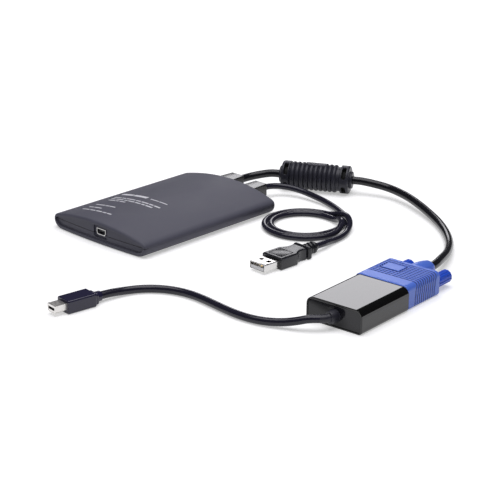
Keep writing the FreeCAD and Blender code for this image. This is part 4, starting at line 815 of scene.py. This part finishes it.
jacket = as_piece(mesh, "choke_jacket", choke_pvc, ["choke_overmould"], 55)

# The walls and floors of the windows are rough PVC painted near black, a painted shade for the light
# that hardly reaches them, so they read as holes. Their faces are those near the windows' places that lie
# well below the bands.
painted_pocket_shade = plain_plastic("pin_hole_painted_shade", "#040405", "#060607", 0.8, 0.3, 0.01)
jacket.data.materials.append(painted_pocket_shade)
for face in jacket.data.polygons:
    spot = face.center * 1000 - choke_start
    s = spot.dot(choke_along)
    radius = math.hypot(spot.dot(choke_aside), spot.z)
    if radius < choke_radius - 0.55 and min(abs(s - middle) for middle in window_ends) < window_round + 0.1:
        face.material_index = 1

# A row of round ribs: one ring swept round a circle and set on the points of a line.
ribs = bpy.data.node_groups.new("round_ribs_in_a_row", "GeometryNodeTree")
ribs.is_modifier = True
sizes = {}
for name, kind in (
    ("Count", "NodeSocketInt"),
    ("First Place", "NodeSocketVector"),
    ("Step", "NodeSocketVector"),
    ("Lean", "NodeSocketVector"),
    ("Ring Radius", "NodeSocketFloat"),
    ("Rib Radius", "NodeSocketFloat"),
    ("Finish", "NodeSocketMaterial"),
):
    sizes[name] = ribs.interface.new_socket(name, in_out="INPUT", socket_type=kind).identifier
ribs.interface.new_socket("Geometry", in_out="OUTPUT", socket_type="NodeSocketGeometry")
given = add(ribs, "NodeGroupInput").outputs
spots = add(
    ribs,
    "GeometryNodeMeshLine",
    {"Count": given["Count"], "Start Location": given["First Place"], "Offset": given["Step"]},
    mode="OFFSET",
)
ring = add(ribs, "GeometryNodeCurvePrimitiveCircle", {"Resolution": 96, "Radius": given["Ring Radius"]})
round_rib = add(ribs, "GeometryNodeCurvePrimitiveCircle", {"Resolution": 16, "Radius": given["Rib Radius"]})
rib = add(ribs, "GeometryNodeCurveToMesh", {"Curve": ring, "Profile Curve": round_rib})
row = add(ribs, "GeometryNodeInstanceOnPoints", {"Points": spots, "Instance": rib, "Rotation": given["Lean"]})
real = add(ribs, "GeometryNodeRealizeInstances", {0: row})
smooth = add(ribs, "GeometryNodeSetShadeSmooth", {0: real})
finished = add(ribs, "GeometryNodeSetMaterial", {"Geometry": smooth, "Material": given["Finish"]})
add(ribs, "NodeGroupOutput", {0: finished})


def rib_row(name, values):
    """A piece with a row of round ribs, from their named sizes in metres."""
    made = placed(name, bpy.data.meshes.new(name))
    growth = made.modifiers.new("growth", "NODES")
    growth.node_group = ribs
    for key, value in values.items():
        growth[sizes[key]] = value
    bpy.context.view_layer.update()
    grown = bpy.data.meshes.new_from_object(made.evaluated_get(bpy.context.evaluated_depsgraph_get()))
    made.modifiers.remove(growth)
    made.data = grown
    grown.name = name
    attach(made, "console_and_leads")
    return made


choke_ribs = rib_row(
    "choke_ribs",
    {
        "Count": rib_count,
        "First Place": (choke_start + choke_along * rib_first) / 1000,
        "Step": choke_along * (rib_pitch / 1000),
        "Lean": Vector((0.0, math.radians(90), choke_angle)),
        "Ring Radius": (choke_radius - rib_round - 0.05) / 1000,
        "Rib Radius": rib_round / 1000,
        "Finish": choke_pvc,
    },
)

# Sintered ferrite is a dark, dry-looking ceramic.
dress(plain_plastic("sintered_ferrite", "#333336", "#403f42", 0.78, 0.2, 0.01), "choke_core")


# ---------------------------------------------------------------- USB plug
# A drawn and folded steel shell with two windows, a white insulator with four gilt contacts, and a
# black PVC grip moulded over its back, with a sunk frame on top and rings that stiffen its tail.

# The grip is satin, nearly without grain, and takes a clear soft highlight.
grip_pvc = plain_plastic("satin_black_grip_pvc", "#1c1c22", "#24242b", 0.28, 0.5, 0.0004, 1.52)
usb_seat = (Vector((101.2, -25.55, 0.0)), math.radians(-2.34))
waist_from, waist_to, heel_end, grip_end, usb_axis = 34.7, 36.5, 38.75, 48.95, 3.8


def on_plug(seat, x, y, z):
    """A point given in millimetres across, along and above a plug, from its mouth, in the part's frame."""
    mouth, yaw = seat
    across_desk = (x * math.cos(yaw) - y * math.sin(yaw), x * math.sin(yaw) + y * math.cos(yaw), z)
    return mouth + Vector(across_desk)


def outlines_on_plug(seat, outline, start, end):
    """One outline across a plug at two places along it."""
    return [[on_plug(seat, x, y, z) for x, z in outline] for y in (start, end)]


def oblong(half, low, high):
    """The corners of a rectangle across a plug."""
    return [(-half, low), (half, low), (half, high), (-half, high)]


def eased_copy(node, radius, turn=35):
    """A solid's mesh with its outer sharp edges rounded, as a mould or a folding tool leaves them."""
    mesh = bmesh.new()
    mesh.from_mesh(frame["nodes"][node].data)
    bmesh.ops.remove_doubles(mesh, verts=mesh.verts, dist=2e-6)
    bmesh.ops.dissolve_limit(mesh, angle_limit=math.radians(0.4), verts=mesh.verts, edges=mesh.edges)
    outer = [e for e in mesh.edges if e.is_manifold and e.is_convex]
    crisp = [e for e in outer if e.calc_face_angle(0.0) > math.radians(turn)]
    bmesh.ops.bevel(
        mesh,
        geom=crisp,
        offset=radius / 1000,
        offset_type="OFFSET",
        segments=3,
        profile=0.5,
        affect="EDGES",
        clamp_overlap=True,
    )
    return mesh


def plate(mesh, outer, *holes):
    """A flat face inside an outer loop, with a hole in it for each other loop."""
    edges = []
    for loop in (outer, *holes):
        for i in range(len(loop)):
            pair = (loop[i], loop[(i + 1) % len(loop)])
            edges.append(mesh.edges.get(pair) or mesh.edges.new(pair))
    bmesh.ops.triangle_fill(mesh, use_beauty=True, edges=edges)


def thick_plate(mesh, seat, outer, hole, start, end):
    """A plate across a plug with one hole through it, between two places along the plug."""
    sides = []
    for outlines in zip(outlines_on_plug(seat, outer, start, end), outlines_on_plug(seat, hole, start, end)):
        loops = [loop_at(mesh, outline) for outline in outlines]
        plate(mesh, *loops)
        sides.append(loops)
    for first, second in zip(*sides):
        skin_between(mesh, first, second)


# The solid's tail makes way for a thin core, a groove parts the waist from the heel, and the rings
# of the relief stand on the core.
mesh = eased_copy("usba_overmould", 0.3)
tail = bmesh.new()
closed_prism(tail, *outlines_on_plug(usb_seat, oblong(9, -3, 12), heel_end, 60.0))
mesh = carved(mesh, tail)
slot = bmesh.new()
thick_plate(slot, usb_seat, oblong(9.0, -2.0, 10.0), oblong(4.7, 1.4, 6.2), waist_from, waist_to)
mesh = carved(mesh, slot)
core = [(waist_to, 2.6), (grip_end - 1.0, 2.6), (grip_end - 0.3, 2.5), (grip_end - 0.05, 2.25)]
loops = []
for y, radius in core + [(grip_end, 2.0)]:
    ring = [(radius * math.cos(a), usb_axis + radius * math.sin(a)) for a in angles(32)]
    loops.append(loop_at(mesh, [on_plug(usb_seat, x, y, z) for x, z in ring]))
skin_closed(mesh, loops)
usb_grip = as_piece(mesh, "usb_plug_grip", grip_pvc, ["usba_overmould"])

ring_count, ring_first, ring_pitch, ring_round, ring_outer = 3, 1.6, 2.85, 1.2, 3.72
usb_rings = rib_row(
    "usb_relief_rings",
    {
        "Count": ring_count,
        "First Place": on_plug(usb_seat, 0.0, heel_end + ring_first, usb_axis) / 1000,
        "Step": (on_plug(usb_seat, 0.0, ring_pitch, 0.0) - usb_seat[0]) / 1000,
        "Lean": Vector((0.0, math.radians(90), math.radians(90) + usb_seat[1])),
        "Ring Radius": (ring_outer - ring_round) / 1000,
        "Rib Radius": ring_round / 1000,
        "Finish": grip_pvc,
    },
)

mesh = eased_copy("usba_shell", 0.08, 60)
for middle in (-2.9, 2.9):
    window = [(middle + x, y) for x, y in ((-1.5, 5.4), (1.5, 5.4), (1.5, 8.0), (-1.5, 8.0))]
    punch = bmesh.new()
    closed_prism(punch, *[[on_plug(usb_seat, x, y, z) for x, y in window] for z in (5.0, 8.0)])
    mesh = carved(mesh, punch)
usb_shell = as_piece(mesh, "usb_plug_shell", nickel, ["usba_shell"])

# A clean white tongue and contacts flashed with gold, which look warm and bright in its shade.
white_plastic = plain_plastic("white_thermoplastic", "#ececee", "#f4f4f5", 0.38, 0.6, 0.003)
mesh = bmesh.new()
closed_prism(mesh, *outlines_on_plug(usb_seat, oblong(5.15, 1.95, 3.8), 0.15, 13.0))
as_piece(mesh, "usb_plug_tongue", white_plastic, ["usba_insulator"])
gilt = plain_metal("gold_flashed_brass", "#c9a24c", "#dcb964", 0.24, 0.4)
dress(gilt, "usba_contacts")

# ---------------------------------------------------------------- adapter housing
# A sleeve of ABS, closed at the lead end by a cap set a little inside its rim, and a relief of soft
# PVC moulded on the lead. The sleeve is polished black and mirrors what stands round it, the cap is
# less glossy and a little greyer, and the relief is matt.
polished_abs = plain_plastic("polished_black_abs", "#060607", "#09090b", 0.045, 3.0, 0.0008, 1.54)
cap_abs = plain_plastic("semi_gloss_black_abs", "#1a1a1f", "#202026", 0.12, 2.0, 0.001, 1.46)
relief_pvc = plain_plastic("matt_black_relief_pvc", "#272730", "#2f2f39", 0.42, 0.5, 0.002, 1.48)

# The adapter lies along the line midway between the two thumbscrews.
joints = {joint["name"]: joint for joint in frame["record"]["behaviour"]["joints"]}
left_screw = Vector(joints["thumbscrew_left_turn"]["pos_m"])
right_screw = Vector(joints["thumbscrew_right_turn"]["pos_m"])
adapter_length, hood_length = 44.1, 31.4
hood_rear = adapter_length + hood_length
along = Vector(joints["thumbscrew_left_turn"]["axis"]).normalized()
sideways = (right_screw - left_screw).normalized()
adapter_origin = (left_screw + right_screw) / 2 - along * hood_rear / 1000
adapter_origin.z = 0.0


def loop_on_adapter(mesh, points):
    """Vertices at points given in millimetres across, along and above the adapter."""
    loop = []
    for x, y, z in points:
        foot = adapter_origin + sideways * (x / 1000) + along * (y / 1000)
        loop.append(mesh.verts.new(foot + Vector((0, 0, z / 1000))))
    return loop


def bore_loop(mesh, x, y, z, radius, steps=28):
    """A ring of vertices round a bore that runs along the adapter."""
    ring = [(x + radius * math.cos(a), y, z + radius * math.sin(a)) for a in angles(steps)]
    return loop_on_adapter(mesh, ring)


def section_rim(half, height, top_round, foot_round):
    """Points round the section of the adapter or its hood with their outward normals, from the
    middle of its foot."""
    foot_steps, side_steps, top_steps, arc_steps = 12, 34, 75, 9
    quarter = [math.radians(90 * i / arc_steps) for i in range(arc_steps)]
    rim = [(i / foot_steps * (half - foot_round), 0.0, 0.0, -1.0) for i in range(foot_steps)]
    for turn in quarter:
        nx, nz = math.sin(turn), -math.cos(turn)
        rim.append((half - foot_round + foot_round * nx, foot_round + foot_round * nz, nx, nz))
    for i in range(side_steps):
        rim.append((half, foot_round + i / side_steps * (height - top_round - foot_round), 1.0, 0.0))
    for turn in quarter:
        nx, nz = math.cos(turn), math.sin(turn)
        rim.append((half - top_round + top_round * nx, height - top_round + top_round * nz, nx, nz))
    for i in range(top_steps):
        rim.append(((1 - i / top_steps) * (half - top_round), height, 0.0, 1.0))
    mirrored = [(-x, z, -nx, nz) for x, z, nx, nz in reversed(rim[1:])]
    return rim + [(0.0, height, 0.0, 1.0)] + mirrored


adapter_half, adapter_height, adapter_round, adapter_foot = 18.45, 13.8, 4.3, 2.3
adapter_rim = section_rim(adapter_half, adapter_height, adapter_round, adapter_foot)


def adapter_loop(mesh, y, inset):
    """A loop round the adapter's section, at a place along it and drawn in by an inset."""
    return loop_on_adapter(mesh, [(x - nx * inset, y, z - nz * inset) for x, z, nx, nz in adapter_rim])


# The sleeve is open at both ends: its skin runs outside and returns inside.
wall_in, mouth = 0.98, adapter_length
rows = [(0.9, 0.0), (0.3, 0.0), (0.12, 0.04), (0.03, 0.13), (0.0, 0.3), (0.0, 0.8), (0.05, 0.92)]
rows += [(0.25, wall_in), (mouth - 0.1, wall_in), (mouth, 0.9), (mouth, 0.05), (mouth - 0.05, 0.0)]
rows += [(mouth - 0.4, 0.0)]
mesh = bmesh.new()
loops = [adapter_loop(mesh, y, inset) for y, inset in rows]
skin_along(mesh, loops + loops[:1])
bmesh.ops.recalc_face_normals(mesh, faces=mesh.faces)
as_piece(mesh, "adapter_body", polished_abs, ["adapter_sleeve"], 30)

# The cap's first two rings keep its broad face level, so that it shades flat up to its edge.
relief_x, relief_z, relief_bore, cap_face, cap_back = 0.5, 6.9, 3.1, 0.32, 1.4
rows = [(cap_face, 1.9), (cap_face, 1.3), (0.36, 1.08), (0.5, 1.02), (1.35, 1.02), (cap_back, 1.1)]
mesh = bmesh.new()
front = [adapter_loop(mesh, y, inset) for y, inset in rows]
bores = [bore_loop(mesh, relief_x, y, relief_z, relief_bore, 48) for y in (cap_face, cap_back)]
skin_along(mesh, front)
skin_between(mesh, *bores)
plate(mesh, front[0], bores[0])
plate(mesh, front[-1], bores[1])
bmesh.ops.recalc_face_normals(mesh, faces=mesh.faces)
as_piece(mesh, "adapter_cap", cap_abs, ["adapter_end_cap"], 30)

# The relief is a thick root that the cap grips, then a thin sleeve that bends with the lead.
bend, last_turn, root_turn, root_long = 9.0, 51.5, 19.0, 1.5


def relief_loop(mesh, distance, radius):
    """A ring round the relief's bent middle line at a distance from the cap, in millimetres."""
    turn = max(distance - root_long, 0.0) / bend
    x = relief_x - bend * (1 - math.cos(turn))
    y = -min(distance, root_long) - bend * math.sin(turn)
    points = []
    for a in angles(40):
        off, up = radius * math.cos(a), radius * math.sin(a)
        points.append((x + math.cos(turn) * off, y - math.sin(turn) * off, relief_z + up))
    return loop_on_adapter(mesh, points)


root_end = root_long + bend * math.radians(root_turn)
sleeve_end = root_long + bend * math.radians(last_turn)
rows = [(-3.0, 4.6), (-1.45, 4.6), (-1.4, 3.08), (-0.3, 3.08), (-0.28, 3.9), (0.0, 3.9), (0.3, 3.75)]
rows += [(0.3 + (root_end - 0.6) * i / 8, 3.7 - 0.12 * i / 8) for i in range(1, 9)]
rows += [(root_end - 0.15, 3.52), (root_end - 0.02, 3.3), (root_end, 3.0), (root_end, 2.55)]
rows += [(root_end + 0.15, 2.42)]
rows += [(root_end + 0.15 + (sleeve_end - root_end - 0.25) * i / 8, 2.4 - 0.04 * i / 8) for i in range(1, 9)]
rows += [(sleeve_end, 2.33)]
mesh = bmesh.new()
skin_closed(mesh, [relief_loop(mesh, distance, radius) for distance, radius in rows])
as_piece(mesh, "lead_relief", relief_pvc, ["adapter_strain_relief"], 40)

# The mated sockets and plugs: bright shells round dull blue insulators.
dress(nickel, "vga_socket_shell", "vga_socket_nuts", "vga_plug_shell")
blue_insulator = plain_plastic("blue_polyester_insulator", "#1f3f9e", "#2648ab", 0.42, 0.5, 0.003)
dress(blue_insulator, "vga_socket_insulator", "vga_plug_insulator")
dress(gilt, "vga_plug_pins")

# ---------------------------------------------------------------- small display plug
# A chamfered steel shell in a grip of polished black ABS, with a collar and a sleeve for the lead.
# The plating is satin and takes the lamps as a pale spread; the grip's flats mirror them clearly,
# with a faint violet cast.
satin_nickel = plain_metal("satin_nickel_plate", "#dddbd8", "#e8e6e3", 0.38, 0.5)
dress(satin_nickel, "mdp_shell")
dress(black_insulator, "mdp_tongue")
mdp_abs = plain_plastic("polished_black_grip_abs", "#22203a", "#292743", 0.07, 0.6, 0.0008, 1.5)
mdp_seat = (Vector((65.4, -150.34, 0.0)), math.radians(-7.25))


def ring_section(half, low, high, turn_round):
    """Points round a rounded oblong, with one close to each end of every flat to keep the flats true."""
    points = []
    guard = min(0.25, (half - turn_round) / 3, (high - low - 2 * turn_round) / 6)
    middles = ((half, low, -90, 1), (half, high, 0, 1), (-half, high, 90, -1), (-half, low, 180, -1))
    for x, z, start, side in middles:
        x -= side * turn_round
        z += turn_round if z == low else -turn_round
        first, last = math.radians(start), math.radians(start + 90)
        arc = [math.radians(start + 90 * i / 8) for i in range(9)]
        arc = [(x + turn_round * math.cos(a), z + turn_round * math.sin(a)) for a in arc]
        points.append((arc[0][0] + guard * math.sin(first), arc[0][1] - guard * math.cos(first)))
        points += arc
        points.append((arc[-1][0] - guard * math.sin(last), arc[-1][1] + guard * math.cos(last)))
    return points


# Each ring is a place along the plug, half a width, a foot, a top and a corner radius: the block,
# the collar and the sleeve.
lead_z, block_start, block_end, collar_end = 3.6, 7.7, 26.1, 28.7
block_half, block_high, block_round = 5.5, 8.0, 1.2
collar_half, collar_reach, collar_round = 4.2, 3.2, 1.1
rows = [(block_start, 0.6), (block_start, 0.35), (block_start + 0.1, 0.1), (block_start + 0.35, 0.0)]
rows += [(block_start + 0.7, 0.0), (block_end - 0.7, 0.0), (block_end - 0.35, 0.0), (block_end - 0.1, 0.1)]
rows += [(block_end, 0.35)]
rings = [(y, block_half - inset, inset, block_high - inset, block_round - inset / 2) for y, inset in rows]
rows = [(block_end, 0.0), (collar_end - 0.6, 0.0), (collar_end - 0.3, 0.05), (collar_end - 0.05, 0.25)]
rows += [(collar_end, 0.5)]
for y, inset in rows:
    low, high = lead_z - collar_reach + inset, lead_z + collar_reach - inset
    rings.append((y, collar_half - inset, low, high, collar_round))
for y, radius in ((collar_end, 3.0), (31.6, 2.95), (32.0, 2.9), (32.25, 2.7), (32.3, 2.45)):
    rings.append((y, radius, lead_z - radius, lead_z + radius, radius - 0.03))
mesh, loops = bmesh.new(), []
for y, half, low, high, turn_round in rings:
    outline = ring_section(half, low, high, turn_round)
    loops.append(loop_at(mesh, [on_plug(mdp_seat, x, y, z) for x, z in outline]))
skin_closed(mesh, loops)
mdp_grip = as_piece(mesh, "mdp_plug_grip", mdp_abs, ["mdp_overmould"], 50)

mesh = bmesh.new()
shell_edge = [(-2.3, 2.05), (2.3, 2.05), (3.4, 3.1), (3.4, 5.95), (-3.4, 5.95), (-3.4, 3.1)]
thick_plate(mesh, mdp_seat, shell_edge, oblong(2.85, 3.35, 5.0), 0.1, 1.0)
bmesh.ops.recalc_face_normals(mesh, faces=mesh.faces)
mdp_rim = as_piece(mesh, "mdp_plug_rim", satin_nickel)

# ---------------------------------------------------------------- thumbscrews
# Blue PVC knobs, fluted for the fingers, moulded on nickel-plated shanks that screw into the
# adapter's nuts. Each turns on its own axis. The knobs are a strong blue with a soft sheen.
knob_pvc = plain_plastic("moulded_blue_knob_pvc", "#1f50cc", "#2758d6", 0.42, 0.4, 0.006, 1.52)
dress(knob_pvc, "thumbscrew_knob_left", "thumbscrew_knob_right")
dress(nickel, "thumbscrew_shank_left", "thumbscrew_shank_right")

# ---------------------------------------------------------------- VGA hood
# The hood of the VGA plug is soft PVC, injected round the plug and its lead in one shot. Wavy grip
# grooves run all round its middle, broken by a bare pad on top, and a boss grips the lead.

# The PVC is a milky blue with a soft sheen, over a grain drawn coarser than the real one. The
# grooves carry a painted shade: there the colour is darkened to a dark navy blue, standing in for lost light.
blue, tree, place = finish_named("moulded_blue_pvc")
grain = add(tree, "ShaderNodeTexNoise", {"Vector": place, "Scale": 7 / 0.01})
relief = add(tree, "ShaderNodeBump", {"Height": grain, "Distance": 0.000002, "Strength": 0.3})
shade = add(
    tree, "ShaderNodeMix", {"Factor": grain, 6: colour("#5076de"), 7: colour("#547ae2")}, data_type="RGBA"
)
# Painted shade: the grooves and the moat round the pad darken to navy by how far they are sunk.
depth = add(tree, "ShaderNodeAttribute", attribute_name="sunk")
painted_groove_shade = add(tree, "ShaderNodeMapRange", {"Value": depth.outputs["Fac"], "From Min": 0.2, "From Max": 0.6})
shade = add(
    tree, "ShaderNodeMix", {"Factor": painted_groove_shade, 6: shade.outputs[2], 7: colour("#0f1c68")}, data_type="RGBA"
)
skin = add(
    tree,
    "ShaderNodeBsdfPrincipled",
    {"Base Color": shade.outputs[2], "Roughness": 0.36, "Normal": relief, "IOR": 1.64},
)
add(tree, "ShaderNodeOutputMaterial", {"Surface": skin})

hood_half, hood_height, hood_round, hood_foot = 17.9, 14.2, 3.2, 2.0
groove_first, groove_pitch, groove_count, groove_half, groove_depth = 51.6, 2.1, 10, 0.66, 0.6
wave_high, wave_long, kink_high, lean_high = 0.1, 2.5, 0.45, 1.9
pad_x, pad_y, pad_half_x, pad_half_y, pad_proud = -6.1, 62.6, 5.9, 3.8, 0.2
scallop_high, moat_away, moat_half = 0.3, 0.45, 0.5


def groove_shift(x, z):
    """How far the grooves wander along the hood: waves on top, a kink and a lean on the sides."""
    on_top = eased(z, hood_height - 1.2, hood_height - 0.1)
    wave = wave_high * math.sin(2 * math.pi * x / wave_long) * on_top * (1 - eased(abs(x), 13.2, 14.6))
    kink = kink_high * (eased(z, 5.8, 7.4) - 0.5) * (1 - on_top)
    lean = lean_high * eased(z, 9.6, hood_height)
    return wave + kink + lean


def hood_offset(x, y, z):
    """How far the hood's surface stands in (below zero) or out at a place on its section."""
    shift = groove_shift(x, z)
    nearest = round((y - shift - groove_first) / groove_pitch)
    nearest = min(max(nearest, 0), groove_count - 1)
    away = abs(y - shift - groove_first - nearest * groove_pitch)
    groove = 1 - eased(away, 0.06, groove_half)
    if z < hood_height - 0.01:
        return -groove_depth * groove
    scallop = scallop_high * math.cos(2 * math.pi * (y - groove_first) / groove_pitch)
    outside = max(abs(x - pad_x) - pad_half_x + scallop, abs(y - shift - pad_y) - pad_half_y)
    on_pad = 1 - eased(outside, -0.15, 0.15)
    moat = hump(outside, moat_away, moat_half)
    return pad_proud * on_pad - groove_depth * max(groove, moat) * (1 - on_pad)


# The rows run from the front edge over the grooved middle, which alone has an offset worked out
# for each point, to the rounded rear edge. How far a point is sunk is kept for the painted shade.
rear_edge, row_pitch, row_count = 0.6, 0.12, 198
rows = [(0.0, -0.3), (0.08, -0.1), (0.3, 0.0)] + [(d, 0.0) for d in (1.5, 3.0, 4.5, 5.8)]
rows += [(6.0 + row_pitch * i, None) for i in range(row_count)]
for i in range(5):
    turn = math.radians(90 * i / 4)
    rows.append((hood_length - rear_edge + rear_edge * math.sin(turn), rear_edge * (math.cos(turn) - 1)))
mesh = bmesh.new()
sunk = mesh.verts.layers.float.new("sunk")
rim = section_rim(hood_half, hood_height, hood_round, hood_foot)
loops = []
for distance, offset in rows:
    y = adapter_length + distance
    offsets = [hood_offset(x, y, z) if offset is None else offset for x, z, nx, nz in rim]
    points = [(x + nx * out, y, z + nz * out) for (x, z, nx, nz), out in zip(rim, offsets)]
    loops.append(loop_on_adapter(mesh, points))
    if offset is None:
        for vertex, out in zip(loops[-1], offsets):
            vertex[sunk] = min(max(-out / groove_depth, 0.0), 1.0)
skin_along(mesh, loops)

# In front a pocket holds the root of the plug. Two bores let the screws' shanks through.
screw_z, screw_half, screw_bore, pocket_deep = right_screw.z * 1000, 12.5, 1.65, 4.0
pocket = oblong(15.4, 1.2, 10.4)
pocket_ends = (adapter_length, adapter_length + pocket_deep)
pocket_front, pocket_floor = [loop_on_adapter(mesh, [(x, y, z) for x, z in pocket]) for y in pocket_ends]
plate(mesh, loops[0], pocket_front)
skin_between(mesh, pocket_front, pocket_floor)
bore_starts, bore_ends = [
    [bore_loop(mesh, x, y, screw_z, screw_bore) for x in (-screw_half, screw_half)]
    for y in (pocket_ends[1], hood_rear)
]
plate(mesh, pocket_floor, *bore_starts)
for start, end in zip(bore_starts, bore_ends):
    skin_between(mesh, start, end)

# The boss tapers round the lead and turns in to its bore.
boss_z, lead_bore = 7.1, 2.65
boss = [(6.45, 0.0), (6.4, 4.0), (6.25, 6.8), (5.95, 9.4), (5.55, 11.8), (5.15, 13.8), (4.85, 15.0)]
boss += [(4.5, 15.6), (4.0, 15.8), (2.9, 15.8), (lead_bore, 15.5), (lead_bore, 12.0)]
boss_loops = [bore_loop(mesh, 0.0, hood_rear + d, boss_z, radius, 64) for radius, d in boss]
plate(mesh, loops[-1], boss_loops[0], *bore_ends)
skin_along(mesh, boss_loops)
mesh.faces.new(boss_loops[-1])
bmesh.ops.recalc_face_normals(mesh, faces=mesh.faces)
hood = as_piece(mesh, "vga_hood_skin", blue, ["vga_hood"], 75)

# ---------------------------------------------------------------- lead lengths
# Each lead leaves a gland or the adapter's relief and carries its plug, and the lead to the VGA
# plug carries the choke too. The length of each lead's smooth line is worked out, in metres.
run_length(vga_lead)
run_length(usb_lead)
run_length(mdp_lead)
